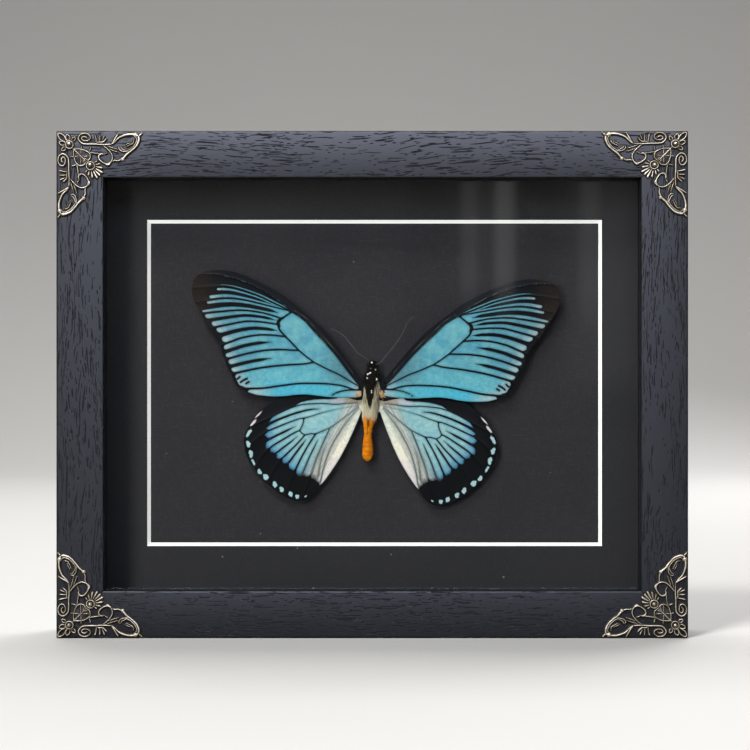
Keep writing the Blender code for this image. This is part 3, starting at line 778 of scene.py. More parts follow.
def hindwingPatches():
    # The right hindwing, laid out in the same way, with sc and rs as its two front veins.
    sc = wingLine([(5.4, -8.6), (9.5, -9.0), (14.7, -9.7), (20, -9.6), (25.2, -10.0), (29.0, -10.6),
                   (32.6, -11.9), (37, -14.0), (42, -16.8), (46.5, -19.0), (50.4, -21.0)])
    rs = wingLine([(27.5, -16.1), (29.6, -16.5), (33.3, -18.0), (38.5, -20.4), (42.9, -22.6), (47, -25.8),
                   (51.5, -30.3)])
    m1 = wingLine([(28.9, -21.3), (31.5, -22.6), (35.5, -25.3), (40, -28.4), (44.3, -32.6), (47.2, -37.9)])
    m2 = wingLine([(26.7, -23.1), (30, -27.2), (33.7, -31.2), (36.3, -34.0), (39.2, -38.4), (41.0, -44.6)])
    m3 = wingLine([(22.3, -22.5), (25.2, -27.5), (27.4, -31.9), (28.9, -35.4), (30.4, -38.8),
                   (33.9, -49.1)])
    ca1 = wingLine([(16.4, -19.6), (18.4, -24.6), (20, -29), (21.3, -32.3), (22.3, -35.6), (23.4, -39.6),
                    (26.7, -50.5)])
    ca2 = wingLine([(4.6, -10.4), (8.0, -14.6), (12, -20.6), (14.9, -26), (16.6, -30.2), (17.9, -35),
                    (18.8, -39.4), (19.5, -44.0)])
    rear = wingLine([(3.6, -12.0), (4.8, -15.6), (7.9, -23.8), (11.2, -31.2), (14.1, -36.4), (16.6, -40.3),
                     (18.7, -43.2)])
    lead = [(5.6, -7.6), (10, -6.6), (18, -5.6), (27, -5.4), (34, -6.4), (39.2, -8.4), (43.7, -12.0),
            (46.2, -14.2), (48.1, -16.5), (49.4, -18.9)]
    across = wingSize["across"]
    cellRows = 26
    cellFront = evenLine([(5.0, -9.6), (9, -10.4), (14, -11.6), (18, -12.8), (21.5, -14.0), (24.4, -15.1),
                          (27.5, -16.1)], cellRows + across)
    rearCell = [evenLine([(4.9, -10.0), (8.2, -12.9), (10.4, -14.7), (13.4, -17.3), (16.4, -19.6)],
                         cellRows),
                evenLine([(16.4, -19.6), (19.2, -21.0), (22.3, -22.5)], across)]
    cellRear = joinLines(*rearCell)
    endCell = [evenLine([(27.5, -16.1), (27.8, -18.4), (28.9, -21.3)], across),
               evenLine([(28.9, -21.3), (28.1, -22.4), (26.7, -23.1)], across),
               evenLine([(26.7, -23.1), (24.4, -22.5), (22.3, -22.5)], across)]
    cellEnd = joinLines(*endCell)
    cellBase = evenLine([(5.0, -9.6), (4.9, -10.0)], 3 * across)
    tips = [line[-1] for line in (sc, rs, m1, m2, m3, ca1, ca2, rear)]
    patches, add, margin = startPatches(tips)
    vein = (0.24, 0.55)
    rows = cellRows + across + wingSize["rows"]
    costa = evenLine(lead, rows)
    front = evenLine(sc, rows)
    lineFront = joinLines(cellFront, rs)
    costal = fillPatch(costa, front, evenLine([lead[0], (5.5, -8.1), sc[0]], across),
                       evenLine([lead[-1], (50.0, -19.9), sc[-1]], across))
    toFront = distanceTo(costal, front)
    blueHalf = np.interp(costal[..., 0], [4, 11, 14, 18, 24, 29, 32], [6.0, 6.0, 2.6, 1.9, 1.6, 1.0, 0.0])
    band = np.minimum(blueHalf - toFront, toFront - 0.2)
    patches.append(dict(grid=costal, ink=-band, toTip=12.0))
    second = add(front, lineFront, evenLine([sc[0], (5.1, -9.1), (5.0, -9.6)], across),
                 margin(0, (51.6, -23.4), (52.1, -26.4)), veins=((0.08, 0.35), (0.05, 0.34)),
                 tips=(10.0, 6.6))
    line = evenLine([(21.3, -12.0), (24, -12.2), (27.4, -13.0), (31.8, -14.5), (36.3, -16.4), (40.7, -18.6),
                     (46, -22)], 60)
    drawOn(second, line, np.interp(second["grid"][..., 0], [21, 26, 34, 44], [0.1, 0.36, 0.42, 0.6]))
    faint = easeStep(20.5, 13, second["grid"][..., 0]) * 0.35
    faint = np.where(distanceTo(second["grid"], lineFront) < 1.0, faint * 0.6, 0.0)
    second["ink"] = second["ink"] - faint
    add(rs, m1, endCell[0], margin(1, (51.0, -32.2), (49.2, -35.6)), veins=(vein, vein), tips=(10.2, 8.8),
        stripe=dict(start=2.8, half=(0.4, 0.55), grow=5.0), startVein=0.2)
    add(m1, m2, endCell[1], margin(2, (45.4, -40.4), (43.4, -42.9)), veins=(vein, vein), tips=(9.9, 10.4),
        stripe=dict(start=2.0, half=(0.3, 0.55), grow=5.0), startVein=0.2)
    add(m2, m3, endCell[2], margin(3, (39.0, -46.2), (36.4, -48.0)), veins=(vein, vein), tips=(11.2, 11.0),
        stripe=dict(start=2.4, half=(0.35, 0.55), grow=4.0), startVein=0.2)
    add(m3, ca1, rearCell[1][::-1], margin(4, (31.4, -50.3), (29.0, -50.8)), veins=(vein, vein),
        tips=(10.6, 10.8), stripe=dict(start=3.5, half=(0.25, 0.42), grow=5.0), startVein=0.15)
    wide = cellRows + 4
    fold = add(ca1, ca2, joinLines(rearCell[0][::-1], evenLine([(4.9, -10.0), (4.6, -10.4)], 4)),
               evenLine([tips[5], (24.4, -49.9), (22.4, -48.3), (21.0, -46.6), tips[6]], wide),
               veins=((0.15, 0.3), (0.06, 0.28)), tips=(6.0, 0.6), startVein=0.06, tipRadius=0.9)
    line = evenLine([(17.4, -26.0), (18.7, -30.1), (19.6, -34), (20.1, -38), (20.6, -43)], 40)
    drawOn(fold, line, np.interp(fold["grid"][..., 1], [-42, -33, -27], [0.42, 0.12, -0.1]))
    add(ca2, rear, evenLine([(4.6, -10.4), (4.2, -11.2), (3.6, -12.0)], across), margin(6),
        veins=((0.02, 0.3), (-0.2, -0.2)), tips=(0.0, -0.2), tipRadius=0.4)
    cell = add(cellFront, cellRear, cellBase, cellEnd, veins=((-0.2, 0.2), (0.08, 0.2)), tips=(0.2, 0.2),
               tipRadius=0.6)
    cell["toTip"] = noTip
    outer = evenLine([(5.6, -7.6), (5.4, -8.6), (5.0, -9.6), (4.6, -10.4), (3.6, -12.0)], 30)
    grid = fillPatch(evenLine([(1.8, -6.6), (1.6, -9.0), (1.7, -12.0)], 30), outer,
                     evenLine([(1.8, -6.6), (5.6, -7.6)], 8), evenLine([(1.7, -12.0), (3.6, -12.0)], 8))
    patches.append(dict(grid=grid, ink=-3.0, toTip=noTip))
    ridges = [front, rs, m1, m2, m3, ca1, ca2, cellFront, cellRear, cellEnd]
    return patches, ridges


# the pale spots of the hindwing's margin: centre, half length, half width (mm) and turn (degrees)
hindwingSpots = (((46.5, -15.6), 2.3, 0.38, -48), ((48.4, -19.0), 2.05, 0.57, -52),
                 ((50.2, -23.5), 2.0, 0.7, -60), ((50.2, -28.1), 1.58, 0.88, 70),
                 ((48.9, -32.1), 1.62, 0.93, 82), ((47.7, -35.6), 1.45, 0.6, 62),
                 ((44.9, -39.5), 1.35, 0.88, 52), ((42.2, -41.5), 1.35, 1.12, 40),
                 ((38.2, -44.4), 1.35, 0.98, 80), ((35.3, -46.4), 1.35, 0.98, 70),
                 ((31.5, -48.1), 1.3, 0.88, 70), ((28.7, -49.0), 1.02, 0.84, 80),
                 ((25.1, -48.7), 0.75, 0.37, -35))


def spotField(grid, spots):
    # Inside distance (mm) to the nearest pale spot: each is a turned ellipse, a bit uneven.
    best = np.full(grid.shape[:2], noSpot)
    for number, (centre, long, short, degrees) in enumerate(spots):
        turn = math.radians(degrees)
        away = grid - np.array(centre)
        u = away[..., 0] * math.cos(turn) + away[..., 1] * math.sin(turn)
        v = -away[..., 0] * math.sin(turn) + away[..., 1] * math.cos(turn)
        angle = np.arctan2(v, u)
        uneven = 1 + 0.07 * np.sin(3 * angle + number) + 0.05 * np.sin(5 * angle + 2 * number)
        best = np.maximum(best, (uneven - np.hypot(u / long, v / short)) * short)
    return best


def makeWing(name, node, patches, ridges, spots, back, material):
    # Every patch gets its relief: raised veins, a shallow furrow between them and a slow wave over
    # the whole wing. The sheet is welded, then given its thickness.
    side, lift, shrink, moveX, moveZ = wingSize[node]
    ridge, ridgeHalf = wingSize["ridge"]
    furrow, furrowHalf = wingSize["furrow"]
    level = (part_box(node)[0][1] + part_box(node)[1][1]) / 2 + back
    originX = wingSize["originX"] + moveX * mm
    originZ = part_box("rail_top")[1][2] / 2 + wingSize["originZ"] + moveZ * mm
    turn = math.radians(lift)
    sheets = []
    for patch in patches:
        grid = patch["grid"]
        toVein = np.min([distanceTo(grid, line) for line in ridges], axis=0)
        span = np.hypot(grid[..., 0], grid[..., 1])
        rise = ridge * np.exp(-((toVein / ridgeHalf) ** 2)) + furrow * np.exp(-toVein / furrowHalf)
        wave = 0.45 * np.sin(span / 15.0 + 0.8) + 0.3 * np.sin(grid[..., 0] / 9.0 - grid[..., 1] / 7.0)
        wave = wave * easeStep(8, 45, span)
        out = -(rise + wave) * mm + level - wingSize["tipRise"] * easeStep(20, 80, span)
        u = grid[..., 0] * side * shrink
        v = grid[..., 1] * shrink
        if side < 0:
            u, v = u * math.cos(turn) + v * math.sin(turn), -u * math.sin(turn) + v * math.cos(turn)
        points = np.stack([originX + u * mm, out, originZ + v * mm], axis=-1)
        masks = dict(ink=patch["ink"], toTip=patch["toTip"], streak=patch.get("streak", noStreak),
                     spot=spotField(grid, spots), right=grid[..., 0], up=grid[..., 1])
        sheets.append(makeSheet(points, flip=side > 0, masks=masks))
    wing = joinSheets(name, sheets, [material], merge=0.00002)
    shell = wing.modifiers.new("thickness", "SOLIDIFY")
    shell.thickness = wingSize["thickness"]
    shell.offset = 0
    placePiece(wing, "wing_scales", node)


def buildPowderGroup():
    # The powder of scales: fine grain, a mottle of patches and a ragged offset for edges.
    group, given, out = newGroup("wingPowder", [("Place", "Vector", None)],
                                 [("Grain", "Float"), ("Mottle", "Float"), ("Ragged", "Float")])
    group.links.new(noise(group, given["Place"], 3.3, 2.0, 0.7), out["Grain"])
    group.links.new(noise(group, given["Place"], 0.6, 3.0, 0.6), out["Mottle"])
    group.links.new(noise(group, given["Place"], 3.4, 2.0, 0.6), out["Ragged"])
    return group


def buildFanGroup():
    # Streaks that run outward from the wing's root: a noise over (angle, distance), about -1 to 1.
    group, given, out = newGroup("wingFan", [("Right", "Float", 0.0), ("Up", "Float", 0.0)],
                                 [("Streak", "Float")])
    angle = calc(group, "ARCTAN2", given["Up"], given["Right"])
    flat = put(group, "CombineXYZ", {0: given["Right"], 1: given["Up"]}).outputs[0]
    reach = put(group, "VectorMath", {0: flat}, operation="LENGTH").outputs["Value"]
    fan = put(group, "CombineXYZ", {0: times(group, angle, 75.0), 1: times(group, reach, 0.3)}).outputs[0]
    streak = calc(group, "SUBTRACT", noise(group, fan, 1.0, 2.0), 0.5)
    group.links.new(times(group, streak, 4.0), out["Streak"])
    return group


powderGroup = buildPowderGroup()
streakGroup = buildFanGroup()


# the colours of the scales, named for where they lie
frontColours = dict(
    blue=(0.132, 0.375, 0.445, 1), deep=(0.086, 0.305, 0.415, 1), lower=(0.12, 0.44, 0.54, 1),
    rear=(0.045, 0.42, 0.62, 1), far=(0.12, 0.25, 0.31, 1), pale=(0.40, 0.50, 0.52, 1),
    shade=(0.07, 0.16, 0.205, 1), root=(0.40, 0.44, 0.45, 1), black=(0.0022, 0.0034, 0.0045, 1),
    brown=(0.016, 0.0105, 0.0072, 1), fleck=(0.26, 0.21, 0.14, 1), streak=(0.35, 0.38, 0.36, 1))
hindColours = dict(
    blue=(0.28, 0.50, 0.53, 1), deep=(0.23, 0.45, 0.52, 1), outward=(0.055, 0.23, 0.43, 1),
    last=(0.01, 0.07, 0.16, 1), front=(0.44, 0.44, 0.50, 1), fold=(0.50, 0.50, 0.46, 1),
    cream=(0.84, 0.79, 0.67, 1), lilac=(0.66, 0.62, 0.62, 1), root=(0.50, 0.58, 0.54, 1),
    hairy=(0.34, 0.27, 0.17, 1), creaseShade=(0.22, 0.22, 0.20, 1), black=(0.0018, 0.0024, 0.0027, 1),
    greyVein=(0.20, 0.22, 0.20, 1), spot=(0.18, 0.36, 0.42, 1), paleSpot=(0.50, 0.66, 0.70, 1),
    lilacSpot=(0.60, 0.54, 0.56, 1))
dustColour = (0.008, 0.06, 0.11, 1)  # of the dark scales strewn over the blue
foldWay = (0.885, 0.466)  # right and up, pointing straight away from the hindwing's inner edge


def forewingBlue(tree, right, up, toTip, slow):
    # Clearer blue along the rear edge, pale grey at the root, near the tips and at the rear corner.
    blue = blendColour(tree, ease(tree, slow, 0.38, 0.62), frontColours["blue"], frontColours["deep"])
    lower = times(tree, ease(tree, up, 9.0, 2.0), 0.45)
    blue = blendColour(tree, lower, blue, frontColours["lower"])
    rear = times(tree, ease(tree, up, 0.5, -3.0), ease(tree, right, 12.0, 26.0))
    rear = times(tree, rear, ease(tree, right, 50.0, 36.0))
    blue = blendColour(tree, times(tree, rear, 0.6), blue, frontColours["rear"])
    far = ease(tree, right, 44.0, 66.0)
    blue = blendColour(tree, times(tree, far, 0.6), blue, frontColours["far"])
    corner = times(tree, ease(tree, right, 40.0, 51.0), ease(tree, up, -3.0, -5.0))
    pale = calc(tree, "MAXIMUM", ease(tree, toTip, 5.5, 0.2), corner)
    blue = blendColour(tree, times(tree, pale, 0.7), blue, frontColours["pale"])
    shade = times(tree, ease(tree, right, 26.0, 12.0), ease(tree, up, -2.0, 2.0))
    blue = blendColour(tree, times(tree, shade, 0.8), blue, frontColours["shade"])
    root = times(tree, ease(tree, right, 12.0, 6.0), 0.6)
    return blendColour(tree, root, blue, frontColours["root"])


def hindwingBlue(tree, right, up, toTip, slow, along):
    # Deeper blue at the ends, lilac grey in front, then grey folds with painted shade in their creases, and
    # cream along the inner edge.
    blue = blendColour(tree, ease(tree, slow, 0.38, 0.62), hindColours["blue"], hindColours["deep"])
    outward = times(tree, ease(tree, toTip, 7.0, 0.0), 0.8)
    blue = blendColour(tree, outward, blue, hindColours["outward"])
    last = times(tree, ease(tree, toTip, 1.7, 0.1), 0.6)
    blue = blendColour(tree, last, blue, hindColours["last"])
    front = times(tree, ease(tree, up, -10.0, -9.0), ease(tree, right, 20.0, 14.0))
    blue = blendColour(tree, times(tree, front, 0.85), blue, hindColours["front"])
    blue = blendColour(tree, ease(tree, along, 6.6, 0.8), blue, hindColours["fold"])
    cream = ease(tree, along, -0.2, -2.0)
    lilac = blendColour(tree, ease(tree, up, -28.0, -36.0), hindColours["cream"], hindColours["lilac"])
    blue = blendColour(tree, cream, blue, lilac)
    root = times(tree, ease(tree, right, 14.0, 5.0), 0.6)
    blue = blendColour(tree, root, blue, hindColours["root"])
    hairy = times(tree, ease(tree, right, 12.5, 8.5), ease(tree, up, -10.4, -8.6))
    blue = blendColour(tree, times(tree, hairy, 0.85), blue, hindColours["hairy"])
    # painted shade: dark streaks along the creases of the inner fold, which the flat mesh does not have
    length = calc(tree, "SUBTRACT", times(tree, up, foldWay[0]), times(tree, right, foldWay[1]))
    across = put(tree, "CombineXYZ", {0: times(tree, along, 1.2), 1: times(tree, length, 0.05)}).outputs[0]
    foldShade = ease(tree, noise(tree, across, 1.0, 2.0, 0.6), 0.44, 0.64)
    foldShade = times(tree, foldShade, ease(tree, along, 7.5, 3.5))
    foldShade = times(tree, foldShade, ease(tree, along, -2.4, -0.8))
    return blendColour(tree, times(tree, foldShade, 0.7), blue, hindColours["creaseShade"])


def wingMaterial(name, kind):
    # Blue, pale and black scales, put in by the fields that the mesh carries.
    made, tree, shader = newMaterial(name, Roughness=0.55, Specular_IOR_Level=0.08)
    right, up = mask(tree, "right"), mask(tree, "up")
    place = put(tree, "CombineXYZ", {0: right, 1: up, 2: 0.0}).outputs[0]
    powder = useGroup(tree, powderGroup, {"Place": place})
    toTip = mask(tree, "toTip")
    slow = noise(tree, place, 0.16, 2.0)
    # how far a point lies from the hindwing's inner edge
    along = plus(tree, times(tree, right, foldWay[0]), times(tree, up, foldWay[1]))
    ragged = times(tree, calc(tree, "SUBTRACT", powder["Ragged"], 0.5), 0.5)
    tipness = times(tree, ease(tree, toTip, 3.5, 0.4), 0.0 if kind == "front" else 1.0)
    if kind == "front":
        blue = forewingBlue(tree, right, up, toTip, slow)
    else:
        blue = hindwingBlue(tree, right, up, toTip, slow, along)
    fan = useGroup(tree, streakGroup, {"Right": right, "Up": plus(tree, up, 9.0)})["Streak"]
    ragged = plus(tree, ragged, times(tree, times(tree, fan, tipness), 0.5))
    tone = ease(tree, powder["Mottle"], 0.3, 0.7, 0.9, 1.1)
    tone = times(tree, tone, ease(tree, powder["Grain"], 0.25, 0.75, 0.58, 1.38))
    tone = times(tree, tone, plus(tree, times(tree, fan, 0.07), 1.0))
    blue = blendColour(tree, 1.0, blue, put(tree, "CombineColor", {0: tone, 1: tone, 2: tone}).outputs[0],
                       "MULTIPLY")
    edge = plus(tree, mask(tree, "ink"), ragged)
    black = ease(tree, edge, -0.14, 0.1)
    dust = times(tree, ease(tree, edge, -1.0, 0.0), 0.4)
    flakes = times(tree, ease(tree, powder["Ragged"], 0.56, 0.68), 0.4 if kind == "front" else 0.2)
    dust = calc(tree, "MAXIMUM", dust, flakes)
    blue = blendColour(tree, dust, blue, dustColour)
    if kind == "front":
        brown = ease(tree, powder["Mottle"], 0.2, 0.8, 0.5, 1.0)
        brown = times(tree, ease(tree, right, 64.0, 76.0), brown)
        dark = blendColour(tree, brown, frontColours["black"], frontColours["brown"])
        flecks = times(tree, ease(tree, powder["Grain"], 0.6, 0.72), ease(tree, right, 64.0, 74.0))
        dark = blendColour(tree, times(tree, flecks, 0.3), dark, frontColours["fleck"])
        line = times(tree, ease(tree, mask(tree, "streak"), -0.05, 0.08), 0.4)
        dark = blendColour(tree, line, dark, frontColours["streak"])
    else:
        dark = hindColours["black"]
    colour = blendColour(tree, black, blue, dark)
    if kind != "front":
        # thin veins fade to grey in the pale fold
        fade = times(tree, ease(tree, along, 8.5, 1.5), ease(tree, edge, 0.75, 0.4))
        fade = times(tree, times(tree, black, fade), 0.65)
        colour = blendColour(tree, fade, colour, hindColours["greyVein"])
        spotEdge = plus(tree, mask(tree, "spot"), times(tree, ragged, 0.45))
        spotBlue = blendColour(tree, powder["Grain"], hindColours["spot"], hindColours["paleSpot"])
        spotBlue = blendColour(tree, ease(tree, up, -24.0, -19.0), spotBlue, hindColours["lilacSpot"])
        colour = blendColour(tree, ease(tree, spotEdge, -0.06, 0.22), colour, spotBlue)
    paint(tree, shader, colour)
    height = plus(tree, powder["Grain"], times(tree, black, 0.35))
    bumpTo(tree, shader, height, 0.35, 0.00006)
    return made


def makeWings():
    front, frontRidges = forewingPatches()
    hind, hindRidges = hindwingPatches()
    frontMaterial = wingMaterial("forewing scales", "front")
    hindMaterial = wingMaterial("hindwing scales", "hind")
    for label in ("right", "left"):
        makeWing("front_wing_" + label, "forewing_" + label, front, frontRidges, (), 0.0, frontMaterial)
        makeWing("hind_wing_" + label, "hindwing_" + label, hind, hindRidges, hindwingSpots,
                 wingSize["hindBack"], hindMaterial)
    print("wings made")


# stations: right, up and half width (mm), from the crown of the head to the tip of the abdomen;
# tufts of white scales: right, up and radius (mm); eyes: right, up, radius and rise (mm)
bodyLook = dict(
    rings=150, sides=72, flatten=0.95, ringPitch=1.85, hairs=2100, pads=260,
    stations=((0.5, 9.3, 0.35), (0.5, 8.7, 1.5), (0.45, 7.6, 1.95), (0.4, 6.6, 1.75), (0.35, 5.6, 1.75),
              (0.2, 4.4, 2.3), (0.1, 3.0, 2.75), (0.0, 1.0, 3.0), (-0.1, -1.5, 3.1), (-0.2, -4.5, 3.1),
              (-0.4, -7.5, 3.0), (-0.7, -10.5, 2.75), (-0.95, -12.5, 2.7), (-1.0, -14.3, 2.65),
              (-1.15, -16.5, 2.3), (-1.35, -18.5, 1.85), (-1.5, -20.5, 1.62), (-1.55, -22.5, 1.75),
              (-1.5, -25.0, 2.05), (-1.5, -27.4, 2.3), (-1.55, -29.4, 2.25), (-1.65, -30.8, 1.75),
              (-1.7, -31.7, 1.0), (-1.75, -32.1, 0.3)),
    tufts=((0.15, 8.3, 0.4), (1.55, 5.4, 0.45), (-1.45, 3.5, 0.45), (-0.5, 4.1, 0.4), (-0.9, 3.85, 0.3),
           (-1.75, 1.95, 0.45), (1.95, 1.55, 0.55), (0.0, -3.2, 0.3), (0.0, -3.9, 0.25), (-0.3, 5.9, 0.3)),
    eyes=((-1.15, 7.6, 0.95, 1.35), (2.05, 7.6, 0.95, 1.35)), eyeBack=1.1,
    black=((0.0012, 0.0009, 0.0007, 1), (0.006, 0.0045, 0.0035, 1)),
    grey=((0.50, 0.44, 0.30, 1), (1.0, 0.92, 0.68, 1)),
    ochre=((0.62, 0.165, 0.001, 1), (0.94, 0.33, 0.006, 1)), ochrePatch=(0.42, 0.115, 0.001, 1),
    tan=((0.42, 0.20, 0.08, 1), (0.92, 0.52, 0.23, 1)), ring=(0.12, 0.045, 0.006, 1),
    white=(1.0, 0.98, 0.94, 1), eye=((0.006, 0.004, 0.003, 1), (0.03, 0.018, 0.01, 1)))


def bodyLevel():
    low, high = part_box("body")
    return (low[1] + high[1]) / 2


def middleLine():
    return smoothLine(bodyLook["stations"], np.linspace(0, 1, 200))


def blackHalf(up):
    # Half the width (mm) of the black on the thorax, which narrows to a point at its rear.
    return np.interp(up, [-10.2, -8.0, -5.0, -2.0, 1.5, 9], [0.0, 0.75, 1.45, 1.8, 3.2, 9])


def bodySurface(share, turn):
    # The body's skin as a function of the share of its length and the angle round it: ellipses
    # along a bent middle line. Angle 0 points right, a quarter turn points at the glass.
    stations = middleLine()
    line = np.linspace(0, 1, len(stations))
    right = np.interp(share, line, stations[:, 0])
    up = np.interp(share, line, stations[:, 1])
    width = np.interp(share, line, stations[:, 2])
    # soft rings on the abdomen
    tail = easeStep(-13, -16, up)
    width = width * (1 + 0.028 * tail * np.sin(up * 2 * math.pi / bodyLook["ringPitch"]))
    across = right + width * np.cos(turn)
    out = width * bodyLook["flatten"] * np.sin(turn)
    return across, up, out, width


def toWorld(points):
    # From (right, up, out) in mm, measured from the middle of the thorax, to places in the frame.
    right, up, out = points[..., 0], points[..., 1], points[..., 2]
    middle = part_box("rail_top")[1][2] / 2 + wingSize["originZ"]
    return np.stack([wingSize["originX"] + right * mm, bodyLevel() - out * mm, middle + up * mm], axis=-1)


def domeSheets(centre, radius, height, rings=5, sides=12):
    # Half spheres in (right, up, out): rings of a circle whose radius and rise follow a quarter arc.
    lift = np.linspace(0, math.pi / 2, rings)[:, None]
    turn = np.linspace(0, 2 * math.pi, sides, endpoint=False)[None]
    return np.stack([centre[0] + radius * np.cos(lift) * np.cos(turn),
                     centre[1] + radius * np.cos(lift) * np.sin(turn),
                     centre[2] + height * np.sin(lift) + 0 * turn], axis=-1)


def strandGrids(roots, ways, droop, lengths, widths, rings=4):
    # Hairs as three-sided tapering tubes: each bends from its own way towards the droop.
    share = np.linspace(0, 1, rings)[None, :, None, None]
    turn = (np.arange(3) * 2 * math.pi / 3)[None, None, :, None]
    ways = ways / np.linalg.norm(ways, axis=-1, keepdims=True)
    side = np.cross(ways, [0.3, 0.9, 0.2])
    side /= np.linalg.norm(side, axis=-1, keepdims=True)
    lift = np.cross(ways, side)
    length = lengths[:, None, None, None]
    centre = (roots[:, None, None] + ways[:, None, None] * length * share
              + droop[:, None, None] * length * share**2 * 0.5)
    thick = widths[:, None, None, None] * (1 - share) ** 0.7
    return centre + thick * (side[:, None, None] * np.cos(turn) + lift[:, None, None] * np.sin(turn))


def bodyMaterial():
    # Black, with grey hair, ochre scales, tan pads, rings and white tufts where the mesh says so.
    made, tree, shader = newMaterial("body scales", Roughness=0.55, Specular_IOR_Level=0.05)
    place = objectPlace(tree)
    fine = noise(tree, place, 2600.0, 3.0, 0.65)
    slow = noise(tree, place, 420.0, 2.0)
    black, grey, ochre, tan = (blendColour(tree, fine, *bodyLook[key])
                               for key in ("black", "grey", "ochre", "tan"))
    ochre = blendColour(tree, times(tree, ease(tree, slow, 0.3, 0.65), 0.8), ochre, bodyLook["ochrePatch"])
    colour = blendColour(tree, mask(tree, "grey"), black, grey)
    colour = blendColour(tree, mask(tree, "ochre"), colour, ochre)
    colour = blendColour(tree, mask(tree, "tan"), colour, tan)
    colour = blendColour(tree, mask(tree, "ring"), colour, bodyLook["ring"])
    colour = blendColour(tree, mask(tree, "white"), colour, bodyLook["white"])
    paint(tree, shader, colour)
    bumpTo(tree, shader, fine, 0.5, 0.00012)
    return made


def eyeMaterial():
    # A glossy dark eye with a fine net of facets.
    made, tree, shader = newMaterial("compound eye", Roughness=0.16, Coat_Weight=0.6, Coat_Roughness=0.1)
    facets = put(tree, "TexVoronoi", {"Vector": objectPlace(tree), "Scale": 7000.0}).outputs["Distance"]
    paint(tree, shader, blendColour(tree, facets, *bodyLook["eye"]))
    bumpTo(tree, shader, facets, 0.3, 0.00003)
    return made


def makeBody():
    share = np.linspace(0, 1, bodyLook["rings"])[:, None]
    turn = np.linspace(0, 2 * math.pi, bodyLook["sides"], endpoint=False)[None]
    right, up, out, width = bodySurface(share, turn)
    up = up + 0 * turn
    skin = np.stack([right, up, out], axis=-1)
    rough = 0.10 * softNoise(skin, 1.4, 11) * easeStep(0.3, 1.2, width)
    right = right + rough * np.cos(turn)
    out = out + rough * np.sin(turn)
    stray = softNoise(skin, 0.9, 12) * 0.45
    front = (np.sin(turn) > 0) * 1.0
    # grey hair beside and behind the black of the thorax
    blackMiddle = np.interp(up, [-12, -8, 0], [-1.0, -0.7, -0.6])
    beyond = np.abs(right - blackMiddle) - blackHalf(up) + stray * 0.5
    grey = easeStep(-0.2, 0.35, beyond) * easeStep(3.5, 0.0, up + stray)
    # the ochre abdomen, whose front edge runs forward at its sides
    tongue = -13.3 - 1.1 * np.cos((right + 1.0) * 1.3)
    ochre = easeStep(0.35, -0.35, up - tongue + stray)
    flank = easeStep(1.35, 1.75, np.abs(right + 1.0)) * easeStep(-11.3, -12.6, up + stray)
    # its dark mark: a patch, then a thin line behind it
    patchHalf = np.interp(up, [-18.2, -15.2, -14.6], [0.8, 1.0, 0.6])
    patch = easeStep(0.75, 0.35, np.abs(right + 1.35) / patchHalf)
    patch = patch * easeStep(-14.6, -15.3, up) * easeStep(-18.4, -17.6, up)
    thread = easeStep(0.34, 0.08, np.abs(right + 1.7)) * easeStep(-17.2, -18.0, up)
    thread = thread * easeStep(-21.6, -20.4, up) * 0.8
    seam = np.sin(up * 2 * math.pi / bodyLook["ringPitch"] + 2.2)
    seam = easeStep(0.5, 0.95, seam) * easeStep(-15, -18, up) * 0.22
    masks = dict(grey=grey * (0.3 + 0.6 * easeStep(-6, -10, up)), ochre=np.maximum(ochre, flank),
                 ring=np.clip(np.maximum(patch, thread) * front + seam, 0, 1))
    sheets = [makeSheet(toWorld(np.stack([right, up, out], axis=-1)), closeAcross=True, masks=masks)]
    stations = np.array(bodyLook["stations"])
    for u, v, size in bodyLook["tufts"]:
        centre = np.interp(-v, -stations[:, 1], stations[:, 0])
        radius = np.interp(-v, -stations[:, 1], stations[:, 2])
        skinOut = bodyLook["flatten"] * math.sqrt(max(radius**2 - (u - centre) ** 2, 0.1))
        dome = domeSheets((u, v, skinOut - 0.05), size, 0.36)
        sheets.append(makeSheet(toWorld(dome), closeAcross=True, masks=dict(white=1.0)))
    for u, v, radius, rise in bodyLook["eyes"]:
        rear = domeSheets((u, v, 0.0), radius, -bodyLook["eyeBack"], 8, 20)[::-1]
        dome = np.concatenate([rear, domeSheets((u, v, 0.0), radius, rise, 8, 20)[1:]])
        sheets.append(makeSheet(toWorld(dome), closeAcross=True, slot=1))
    body = joinSheets("insect_body", sheets, [bodyMaterial(), eyeMaterial()], merge=0.00001, turnOut=True)
    placePiece(body, "body_fur", "body")
    makeHair()
    print("body made")


